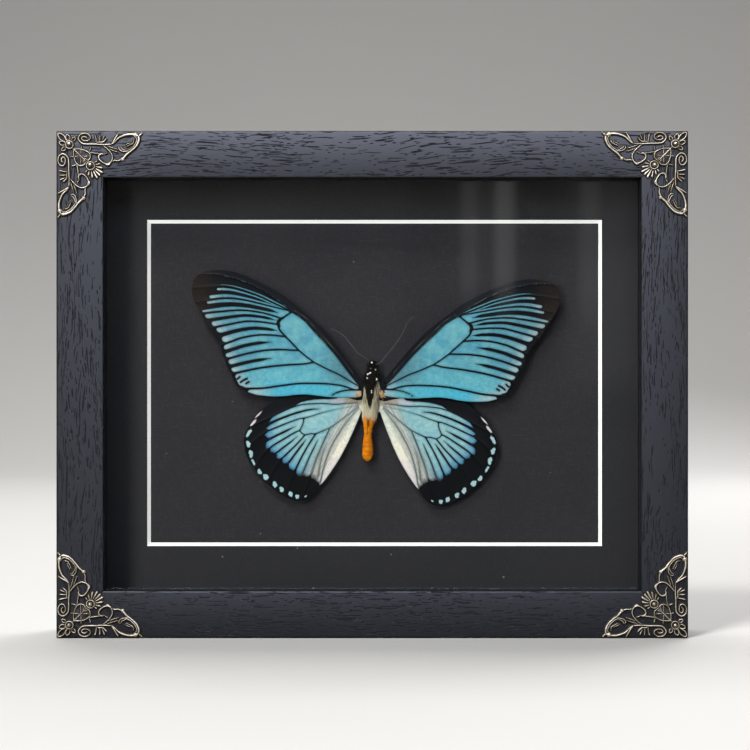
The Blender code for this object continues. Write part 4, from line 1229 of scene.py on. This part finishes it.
def makeHair():
    # Grey and black hair lying back along the thorax, and tan pads at the wing roots.
    maker = np.random.default_rng(5)
    count = bodyLook["hairs"]
    up = np.where(maker.uniform(0, 1, count) < 0.35, maker.uniform(-11.6, -7.0, count),
                  maker.uniform(-10.0, 7.5, count))
    turn = maker.uniform(-0.25, math.pi + 0.25, count)
    line = middleLine()
    share = np.interp(-up, -line[:, 1], np.linspace(0, 1, len(line)))
    right, up, out = bodySurface(share, turn)[:3]
    roots = np.stack([right, up, out - 0.1], axis=-1)
    sideways = np.cos(turn)
    grey = (np.abs(right + 0.65) > blackHalf(up)) & (up < 1.0)
    back = easeStep(3.0, -3.0, up)
    ways = np.stack([sideways * 0.36 + maker.normal(0, 0.1, count), -0.35 - 0.9 * back,
                     0.55 * np.sin(turn) + 0.1], axis=-1)
    droop = np.stack([-sideways * 0.7 * back - 0.1 * back, -0.9 * np.ones(count), -0.75 * np.sin(turn)],
                     axis=-1)
    lengths = np.where(grey, maker.uniform(2.0, 3.9, count), maker.uniform(0.8, 1.9, count))
    lengths = np.minimum(lengths, np.maximum(up + 14.6 + 0.8 * np.abs(right + 0.9), 0.8))
    widths = maker.uniform(0.045, 0.095, count)
    sheets = []
    for pale in (False, True):
        use = grey == pale
        grids = strandGrids(roots[use], ways[use], droop[use], lengths[use], widths[use])
        paler = np.where(maker.uniform(0, 1, use.sum()) < 0.36, 0.06, maker.uniform(0.6, 1.2, use.sum()))
        paler = np.maximum(paler, easeStep(-6.0, -9.5, up[use]) * maker.uniform(0.6, 1.4, use.sum()))
        tone = paler[:, None, None] if pale else 0.012
        sheets.append(makeSheet(toWorld(grids), closeAcross=True, masks=dict(grey=tone)))
    placePiece(joinSheets("thorax_hair", sheets, [bodyMaterial()]), "body_fur")
    # the pads at the wing roots
    count = bodyLook["pads"]
    side = np.where(np.arange(count) % 2 == 0, 1.0, -1.0)
    roots = np.stack([side * maker.uniform(3.4, 5.4, count) - 0.6, maker.normal(-4.1, 0.55, count),
                      maker.uniform(0.9, 1.3, count)], axis=-1)
    ways = np.stack([side * maker.uniform(0.6, 1.2, count), maker.normal(-0.5, 0.3, count),
                     maker.uniform(0.1, 0.5, count)], axis=-1)
    droop = np.stack([side * 0.2, -0.7 + 0 * side, -0.6 + 0 * side], axis=-1)
    grids = strandGrids(roots, ways, droop, maker.uniform(0.8, 1.7, count), maker.uniform(0.05, 0.1, count))
    tone = np.where(maker.uniform(0, 1, count) < 0.6, 0.9, 0.25)[:, None, None]
    pads = makeSheet(toWorld(grids), closeAcross=True, masks=dict(tan=tone, grey=1.0))
    placePiece(joinSheets("wing_root_hair", [pads], [bodyMaterial()]), "body_fur")


# routes: (right, up, out) in mm, from the head to the tip of the club
antennaLook = dict(
    steps=90, sides=8, horn=((0.028, 0.026, 0.026, 1), (0.075, 0.072, 0.072, 1)),
    club=(0.008, 0.006, 0.006, 1),
    right=((1.5, 7.6, 1.0), (3.1, 8.0, 1.3), (4.4, 9.3, 1.2), (6.5, 11.9, 1.0), (9.5, 15.5, 0.7),
           (12.7, 20.3, 0.3), (14.8, 24.7, 0.0), (17.1, 27.3, -0.2)),
    left=((-0.8, 8.6, 1.0), (-1.9, 9.7, 1.2), (-6.0, 12.7, 1.0), (-9.2, 16.8, 0.7), (-12.2, 20.0, 0.3),
          (-16.7, 22.3, 0.0)))


def makeAntennae():
    # Thin tapering stalks that swell into a club, each ring turned with the stalk.
    made, tree, shader = newMaterial("antenna horn", Roughness=0.4)
    rings = noise(tree, stretch(tree, objectPlace(tree), (900, 900, 2600)), 1.0, 1.0)
    colour = blendColour(tree, rings, *antennaLook["horn"])
    paint(tree, shader, blendColour(tree, mask(tree, "club"), colour, antennaLook["club"]))
    share = np.linspace(0, 1, antennaLook["steps"])
    turn = np.linspace(0, 2 * math.pi, antennaLook["sides"], endpoint=False)[None, :, None]
    radius = 0.1 + 0.03 * (1 - share) + 0.2 * easeStep(0.84, 0.95, share)
    radius = radius * np.sqrt(np.clip(1 - ((share - 0.5) / 0.5) ** 24, 0, 1))
    club = easeStep(0.82, 0.9, share)[:, None]
    for side in ("right", "left"):
        line = smoothLine(antennaLook[side], share)
        way = np.gradient(line, axis=0)
        way /= np.linalg.norm(way, axis=1, keepdims=True)
        across = np.cross(way, [0, 0, 1.0])
        across /= np.linalg.norm(across, axis=1, keepdims=True)
        over = np.cross(across, way)
        ring = across[:, None] * np.cos(turn) + over[:, None] * np.sin(turn)
        points = line[:, None] + ring * radius[:, None, None]
        sheet = makeSheet(toWorld(points), closeAcross=True, masks=dict(club=club))
        antenna = joinSheets("feeler_" + side, [sheet], [made], merge=0.000002, turnOut=True)
        placePiece(antenna, "antenna_dark", "antenna_" + side)
    print("antennae made")


# mm: a stroke's usual width and height, how much narrower its crest is and how far its foot spreads (the
# foot takes the dark brass colour, a rim of painted shade round the stroke);
# stand is how far the strokes' floor is from the wood, and low how much lower the first plate sits
filigree = dict(width=0.55, height=0.5, thin=0.70, foot=0.38, perMm=3.2, sides=9, shift=0.3, stand=0.35,
                low=0.35, flower=(5.4, 5.4), daisy=(13.85, 13.85))


def strokeSheet(points, widths, closed=False):
    # A raised stroke: half ovals carried along a smooth line in (a, b), with rounded ends. Its
    # foot is flat on the wood and sinks a little into it.
    points = np.asarray(points, float)
    if closed:
        points = np.vstack([points, points[:1]])
    rough = np.linalg.norm(np.diff(points, axis=0), axis=1).sum()
    count = max(8, int(rough * filigree["perMm"]))
    f = np.linspace(0, 1, count + 1)
    if closed:
        wrapped = np.vstack([points[-3:-1], points, points[1:3]])
        dense = smoothLine(wrapped, np.linspace(0, 1, 600))
        first = np.argmin(np.linalg.norm(dense[:300] - points[0], axis=1))
        last = 300 + np.argmin(np.linalg.norm(dense[300:] - points[-1], axis=1))
        line = smoothLine(dense[first:last + 1], f)[:-1]
        f = f[:-1]
        way = np.roll(line, -1, axis=0) - np.roll(line, 1, axis=0)
    else:
        line = smoothLine(points, f)
        way = np.gradient(line, axis=0)
    way /= np.maximum(np.linalg.norm(way, axis=1, keepdims=True), 1e-9)
    across = np.stack([-way[:, 1], way[:, 0]], axis=1)
    widths = np.atleast_1d(np.asarray(widths, float))
    half = np.interp(f, np.linspace(0, 1, len(widths)), widths) / 2 * filigree["thin"]
    tall = np.interp(f, np.linspace(0, 1, len(widths)), widths) ** 0.5 * filigree["height"]
    if not closed:
        length = runLength(line)
        left = np.minimum(length, length[-1] - length)
        end = np.sqrt(np.clip(1 - (1 - np.clip(left / np.maximum(half, 0.2), 0, 1)) ** 2, 0, 1))
        half = half * end - (1 - end) * filigree["foot"]
        tall = tall * end
    turn = np.linspace(0, math.pi, filigree["sides"])
    offset = half[:, None] * np.cos(turn)
    rise = tall[:, None] * np.sin(turn) ** 0.8 + 0.12
    foot = (half + filigree["foot"])[:, None]
    offset = np.concatenate([foot, foot, offset, -foot, -foot], axis=1)
    level = 0 * foot
    rise = np.concatenate([level - 0.1, level + 0.1, rise, level + 0.1, level - 0.1], axis=1)
    flat = line[:, None] + across[:, None] * offset[..., None]
    points = np.concatenate([flat, rise[..., None]], axis=-1)
    # crest: 1 along the top, where the brass takes its painted highlight, and 0 on the flanks and the foot,
    # where it takes its painted shade
    crest = np.concatenate([[0, 0], np.sin(turn), [0, 0]])[None] * np.ones(len(line))[:, None]
    return makeSheet(points, closeAlong=closed, closeAcross=True, masks=dict(crest=crest))


def circlePoints(centre, radius):
    turn = np.radians(np.linspace(0, 360, 12, endpoint=False))
    return np.stack([centre[0] + radius * np.cos(turn), centre[1] + radius * np.sin(turn)], axis=1)


def petalLoop(centre, root, tip, width):
    # An outlined petal: out from the ring to the tip and back, widest past its middle.
    centre, tip = np.array(centre, float), np.array(tip, float)
    way = tip - centre
    reach = np.linalg.norm(way)
    way /= reach
    across = np.array([-way[1], way[0]])
    t = np.array([root / reach, 0.62, 0.86, 1.0, 0.86, 0.62, root / reach])
    off = np.array([0.3, 0.95, 0.72, 0.0, -0.72, -0.95, -0.3]) * width / 2
    return centre + way * (t * reach)[:, None] + across * off[:, None]


def cornerStrokes():
    # One half of the corner, in mm from the frame's corner: (a) along one rail, (b) inward. The
    # other half is the same strokes with a and b exchanged.
    rosette = filigree["flower"]
    daisy = filigree["daisy"]
    half = [
        # scroll that unwinds into the stem and runs out to the leaf
        ([(12.3, 2.9), (11.6, 2.25), (10.5, 2.3), (10.0, 3.0), (10.9, 3.75), (12.4, 3.7), (13.5, 2.9),
          (13.2, 1.6), (11.6, 0.85), (9.6, 1.3), (8.75, 3.0), (10.2, 4.8), (12.6, 5.15), (15.1, 5.15),
          (18.5, 5.35), (22.0, 5.2)],
         (0.75, 0.5, 0.5, 0.55, 0.7, 0.75, 0.75, 0.7, 0.62, 0.6)),
        ([(21.9, 5.3), (22.8, 4.2), (23.7, 2.6), (24.8, 0.75)], (0.55, 1.0, 0.85, 0.35)),
        # fan of four buds under the stem
        ([(16.0, 4.7), (15.8, 3.0), (15.35, 1.2)], (0.45, 0.5, 0.95)),
        ([(16.0, 4.6), (17.2, 4.3), (18.6, 4.3), (20.2, 2.7)], (0.5, 0.6, 0.75)),
        ([(17.3, 4.3), (17.35, 2.8), (17.4, 1.35)], (0.45, 0.5, 0.85)),
        ([(18.3, 3.7), (18.8, 2.6), (19.3, 1.5)], (0.4, 0.55, 0.8)),
        # teardrop loop, its spike, and the thick rim that runs back to the knob
        ([(22.0, 5.3), (23.4, 4.2), (25.2, 2.5), (28.2, 1.35), (31.0, 1.3), (33.0, 2.0)],
         (0.6, 0.85, 1.1, 1.25, 1.3)),
        ([(33.0, 1.9), (33.7, 1.3), (34.45, 0.6)], (1.2, 0.7, 0.55)),
        ([(32.9, 1.9), (33.0, 3.6), (32.0, 5.9), (29.9, 7.9), (28.2, 9.2), (26.9, 10.7), (26.1, 11.3)],
         (1.3, 1.4, 1.15, 1.0, 1.1, 1.3, 1.2)),
        ([(31.3, 2.2), (32.2, 3.2), (31.5, 5.3), (29.6, 7.2), (28.0, 8.0)], (0.3, 0.55, 0.5, 0.4)),
        ([(26.0, 11.3), (24.7, 11.8), (23.3, 11.7), (22.3, 12.1)], (1.1, 0.65, 0.6, 0.6)),
        # low leaf inside the teardrop, and the pod at its side
        ([(30.9, 3.2), (30.7, 4.6), (29.4, 5.5), (27.8, 6.2)], (0.3, 0.5, 0.4, 0.3)),
        ([(29.9, 4.6), (28.6, 5.0), (27.4, 5.7)], (0.3, 0.35, 0.3)),
        ([(25.2, 5.9), (25.0, 6.9), (26.0, 7.9), (27.5, 8.2), (29.0, 8.3)], (0.65, 0.5, 0.5, 0.5)),
        ([(25.5, 6.0), (26.3, 7.0), (27.6, 7.7), (28.8, 8.2)], (0.55, 0.45, 0.45)),
        # two thin leaves behind
        ([(20.3, 5.9), (22.4, 6.6), (24.5, 7.2)], (0.35, 0.42, 0.3)),
        ([(21.2, 7.1), (22.8, 7.8), (24.8, 8.4)], (0.35, 0.42, 0.3)),
        # the C scroll, its knob and the tendril on its lip
        ([(18.6, 5.7), (20.4, 7.1), (21.9, 8.9), (22.4, 10.6), (21.8, 12.3), (20.3, 13.1), (18.5, 12.5),
          (17.1, 11.2), (16.95, 9.9), (17.9, 9.1), (19.1, 9.3)],
         (0.42, 0.5, 0.55, 0.6, 0.7, 0.75, 0.65, 0.75, 0.85, 0.7)),
        ([(19.3, 12.9), (20.5, 13.5), (21.8, 12.7)], (0.5, 0.95, 0.5)),
        ([(19.2, 9.2), (20.1, 8.7), (20.6, 8.6)], (0.4, 0.4)),
        # tendrils from the veined leaf
        ([(12.9, 8.4), (14.6, 8.7), (16.1, 8.9), (17.7, 9.1)], (0.4, 0.5, 0.4)),
        ([(12.9, 8.4), (13.4, 7.4), (13.6, 6.2)], (0.4, 0.45, 0.5)),
        ([(9.7, 7.3), (9.9, 6.6), (9.9, 5.9)], (0.35, 0.4, 0.35)),
        # one side of the veined leaf, with its lobes and veins
        ([(6.7, 7.2), (8.6, 7.1), (10.6, 7.4), (12.3, 8.1), (13.4, 9.3), (13.3, 11.0), (12.0, 12.2)],
         (0.45, 0.5, 0.5, 0.55, 0.5)),
        ([(9.7, 7.3), (9.8, 8.3), (9.7, 9.3)], (0.35, 0.35)),
        ([(12.9, 9.9), (11.5, 10.0), (10.2, 9.9)], (0.35, 0.4, 0.35)),
        ([(12.4, 11.5), (11.6, 11.1), (10.9, 10.9)], (0.35, 0.35)),
        # side petals of the rosette at the outer corner
        (petalLoop(rosette, 1.8, (4.1, 1.35), 1.75), (0.45, 0.55, 0.6, 0.55, 0.45)),
        (petalLoop(rosette, 1.9, (7.35, 2.3), 1.35), (0.4, 0.5, 0.5, 0.45, 0.4)),
    ]
    half = [([(a + filigree["shift"], b) for a, b in points], widths) for points, widths in half]
    for degrees, reach, size in ((-36, 3.3, 0.85), (-12, 4.1, 1.05), (10, 5.2, 1.2), (29, 6.0, 1.4)):
        turn = math.radians(degrees)
        way = np.array([math.cos(turn), math.sin(turn)])
        start = np.array(daisy)
        half.append(([start + way * 2.0, start + way * (reach - 1.0), start + way * reach],
                     (0.35, 0.75 * size, size)))
    whole = [
        (petalLoop(rosette, 1.8, (0.9, 0.9), 2.1), (0.5, 0.6, 0.7, 0.6, 0.5)),
        ([(6.7, 6.7), (9.0, 9.0), (12.1, 12.1)], (0.5, 0.6, 0.45)),
        ([(15.4, 15.4), (17.0, 17.0), (18.0, 18.0)], (0.35, 1.0, 1.4)),
    ]
    rings = [(circlePoints(centre, radius), filigree["width"])
             for centre, radius in ((rosette, 1.52), (daisy, 1.6))]
    return half, whole, rings


# the first colour is dark patina with painted shade; the gold ones are rubbed brass whose paler crests are
# also a painted highlight
brassLook = dict(patinaAndShade=(0.024, 0.017, 0.012, 1), gold=((0.72, 0.65, 0.50, 1), (0.46, 0.38, 0.25, 1)),
                 bead=((0.34, 0.26, 0.15, 1), (0.86, 0.77, 0.58, 1)))


def brassMaterial():
    # Antique brass: dark patina with painted shade in its hollows and on each stroke's foot, and pale gold
    # of rubbing with a painted highlight on raised edges.
    made, tree, shader = newMaterial("antique brass finish")
    place = objectPlace(tree)
    patch = noise(tree, place, 700.0, 3.0)
    tarnish = noise(tree, place, 240.0, 2.0)
    patchy = times(tree, calc(tree, "SUBTRACT", patch, 0.5), 0.8)
    # high crest (with random patches) takes pale gold, rubbed brass with a painted highlight; low crest
    # takes the dark colour, patina with painted shade
    rubbedAndLit = ease(tree, plus(tree, mask(tree, "crest"), patchy), 0.45, 0.98)
    gold = blendColour(tree, ease(tree, tarnish, 0.35, 0.7), *brassLook["gold"])
    paint(tree, shader, blendColour(tree, rubbedAndLit, brassLook["patinaAndShade"], gold))
    tree.links.new(plus(tree, times(tree, rubbedAndLit, 0.25), 0.35), shader.inputs["Metallic"])
    rough = calc(tree, "SUBTRACT", 0.62, times(tree, rubbedAndLit, 0.18))
    tree.links.new(rough, shader.inputs["Roughness"])
    bumpTo(tree, shader, patch, 0.3, 0.00005)
    return made


def makeOrnaments():
    brass = brassMaterial()
    half, whole, rings = cornerStrokes()
    strokes = []
    for points, widths in half:
        strokes += [(points, widths), (np.asarray(points)[:, ::-1], widths)]
    sheets = [strokeSheet(points, widths) for points, widths in strokes + whole]
    sheets += [strokeSheet(points, widths, closed=True) for points, widths in rings]
    # under the flowers' middles a dish, on the rim four knobs, and below the leaves a web: a dark plate
    # that paints the shade between the strokes
    dish, knob, shadeWeb = (0.0, 0.12, 4, 20, -0.2), (0.1, 0.75, 6, 16, 1.0), (0.0, 0.14, 4, 20, -0.1)
    for centre, radius, (base, rise, levels, sides, crest) in (
        (filigree["flower"], 1.45, dish), (filigree["daisy"], 1.45, dish),
        ((26.8, 11.2), 0.75, knob), ((11.2, 26.8), 0.75, knob),
        ((31.9, 1.5), 0.85, knob), ((1.5, 31.9), 0.85, knob),
        ((9.6, 8.9), 2.1, shadeWeb), ((8.9, 9.6), 2.1, shadeWeb),
        ((11.4, 10.8), 1.9, shadeWeb), ((10.8, 11.4), 1.9, shadeWeb),
    ):
        dome = domeSheets((*centre, base), radius, rise, levels, sides)
        sheets.append(makeSheet(dome, closeAcross=True, masks=dict(crest=crest)))
    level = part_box("rail_top")[0][1] - filigree["stand"] * mm
    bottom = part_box("rail_bottom")[0][2]
    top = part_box("rail_top")[1][2]
    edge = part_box("rail_right")[1][0]
    for name, sideX, sideZ, cornerX, cornerZ in (
        ("top_left", 1, -1, -edge, top - filigree["low"] * mm), ("top_right", -1, -1, edge, top),
        ("bottom_left", 1, 1, -edge, bottom), ("bottom_right", -1, 1, edge, bottom),
    ):
        placed = []
        for sheet in sheets:
            a, b, rise = sheet["points"][..., 0], sheet["points"][..., 1], sheet["points"][..., 2]
            points = np.stack([cornerX + sideX * a * mm, level - rise * mm, cornerZ + sideZ * b * mm],
                              axis=-1)
            placed.append(dict(sheet, points=points))
        piece = joinSheets("filigree_" + name, placed, [brass], merge=0.000004, turnOut=True)
        placePiece(piece, "antique_brass", "ornament_" + name)
    bead, tree, shader = newMaterial("brass bead", Metallic=0.85, Roughness=0.32)
    patch = noise(tree, objectPlace(tree), 900.0, 3.0)
    paint(tree, shader, blendColour(tree, ease(tree, patch, 0.3, 0.7), *brassLook["bead"]))
    for number in range(1, 9):
        dressNode("ornament_brad_%d" % number, bead)
    print("ornaments made")


# the sweep (m): the arc's radius, where it starts, how high and wide it goes and its front edge
stageLook = dict(floor=(0.74, 0.73, 0.71), backdrop=(0.62, 0.63, 0.65), sky=(0.92, 0.95, 1.0), glow=0.04,
                 radius=1.6, back=1.4, height=4.0, halfWidth=6.0, front=-5.0)


def makeStage():
    # One sweep of paper: level on the floor, then an arc, then straight up behind.
    floorMaterial, tree, shader = newMaterial("pale floor", Roughness=0.85, Specular_IOR_Level=0.2)
    tone = noise(tree, objectPlace(tree), 3.0, 2.0)
    colour = blendColour(tree, tone, (*[part * 0.97 for part in stageLook["floor"]], 1),
                         (*stageLook["floor"], 1))
    paint(tree, shader, colour)
    radius, back = stageLook["radius"], stageLook["back"]
    turn = np.linspace(0, math.pi / 2, 40)
    arc = np.stack([back + radius * np.sin(turn), radius * (1 - np.cos(turn))], axis=1)
    profile = np.vstack([[stageLook["front"], 0.0], arc, [back + radius, stageLook["height"]]])
    across = np.array([-stageLook["halfWidth"], stageLook["halfWidth"]])
    x, y = np.meshgrid(across, profile[:, 0])
    points = np.stack([x, y, np.repeat(profile[:, 1:], 2, axis=1)], axis=-1)
    sweep = joinSheets("backdrop", [makeSheet(points, flip=True)], [floorMaterial])
    sweep.visible_glossy = False
    sweep.visible_transmission = False
    world = bpy.data.worlds.new("studio")
    bpy.context.scene.world = world
    world.use_nodes = True
    tree = world.node_tree
    seen = put(tree, "Background", {"Color": (*stageLook["backdrop"], 1), "Strength": 0.8})
    lit = put(tree, "Background", {"Color": (*stageLook["sky"], 1), "Strength": stageLook["glow"]})
    path = put(tree, "LightPath")
    both = put(tree, "MixShader", {0: path.outputs["Is Camera Ray"], 1: lit.outputs[0], 2: seen.outputs[0]})
    tree.links.new(both.outputs[0], tree.nodes["World Output"].inputs["Surface"])


def addLamp(name, place, target, width, height, power, colour=(1, 1, 1)):
    data = bpy.data.lights.new(name, "AREA")
    data.shape = "RECTANGLE"
    data.size = width
    data.size_y = height
    data.energy = power
    data.color = colour
    lamp = bpy.data.objects.new(name, data)
    lamp.location = place
    aim = Vector(target) - Vector(place)
    lamp.rotation_euler = aim.to_track_quat("-Z", "Y").to_euler()
    lamp.visible_camera = False
    bpy.context.scene.collection.objects.link(lamp)
    return lamp


def makeLamps():
    # A window to the left and in front, sheen for the wood, and softer lamps above and behind.
    middle = (0, 0, 0.1)
    key = addLamp("window key", (-0.75, -1.45, 0.30), middle, 0.3, 0.8, 25, (1.0, 0.99, 0.97))
    key.visible_glossy = False
    addLamp("high front", (-0.6, -1.05, 1.5), middle, 0.4, 0.4, 19, (1, 0.995, 0.985))
    satin = addLamp("satin sheen", (-0.15, -1.5, 0.95), middle, 1.6, 0.5, 54, (0.71, 0.76, 0.98))
    satin.visible_diffuse = False
    addLamp("top light", (0, 0.75, 1.9), (0, 0.3, 0), 1.6, 1.0, 27, (1, 0.99, 0.98))
    addLamp("rear fill", (0.8, 1.2, 0.9), middle, 1.0, 0.8, 10, (0.97, 0.98, 1.0))
    makeWindowCard()


# each bar of the bright window: where it stands (m), its half width, its glow and where its foot fades
windowLook = dict(away=1.65, left=0.04, right=0.42, low=0.05, high=0.50, fade=0.07,
                  bars=((0.119, 0.017, 0.27, 0.165), (0.163, 0.02, 0.60, 0.165), (0.267, 0.02, 0.27, 0.15),
                        (0.141, 0.06, 0.12, 0.165), (0.287, 0.075, 0.20, 0.07)))


def makeWindowCard():
    # A glowing card with soft upright bars, seen only as a faint mirror image in the glass.
    made, tree, shader = newMaterial("window glow", Base_Color=(0, 0, 0, 1), Specular_IOR_Level=0.0,
                                     Emission_Color=(1, 1, 1, 1), Emission_Strength=1.0)
    parts = put(tree, "SeparateXYZ", {0: objectPlace(tree)}).outputs
    total = 0.0
    for middle, half, glow, foot in windowLook["bars"]:
        away = calc(tree, "ABSOLUTE", calc(tree, "SUBTRACT", parts[0], middle))
        fade = ease(tree, parts[2], foot, foot + windowLook["fade"])
        bar = times(tree, ease(tree, away, half, half * 0.15, 0.0, glow), fade)
        total = plus(tree, total, bar)
    colour = put(tree, "CombineColor", {0: total, 1: total, 2: total}).outputs[0]
    tree.links.new(colour, shader.inputs["Emission Color"])
    across = np.linspace(windowLook["left"], windowLook["right"], 3)
    up = np.linspace(windowLook["low"], windowLook["high"], 3)
    x, z = np.meshgrid(across, up, indexing="ij")
    points = np.stack([x, -windowLook["away"] + 0 * x, z], axis=-1)
    card = joinSheets("window_card", [makeSheet(points, flip=True)], [made])
    card.visible_camera = False
    card.visible_diffuse = False
    card.visible_shadow = False
    card.visible_transmission = False


cameraView = dict(distance=0.8, field=0.3013, sensor=36.0, shiftX=0.00367, shiftY=0.0126)


def makeCamera():
    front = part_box("rail_top")[0][1]
    data = bpy.data.cameras.new("camera")
    data.sensor_width = cameraView["sensor"]
    data.lens = cameraView["sensor"] * cameraView["distance"] / cameraView["field"]
    data.shift_x = cameraView["shiftX"]
    data.shift_y = cameraView["shiftY"]
    data.clip_start = 0.01
    camera = bpy.data.objects.new("camera", data)
    camera.location = (0, front - cameraView["distance"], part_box("rail_top")[1][2] / 2)
    camera.rotation_euler = (math.pi / 2, 0, 0)
    bpy.context.scene.collection.objects.link(camera)
    bpy.context.scene.camera = camera


bpy.context.scene.view_settings.view_transform = "Standard"
makeRails()
makeMat()
dressFlatNodes()
makeWings()
makeBody()
makeAntennae()
makeOrnaments()
makeStage()
makeLamps()
makeCamera()
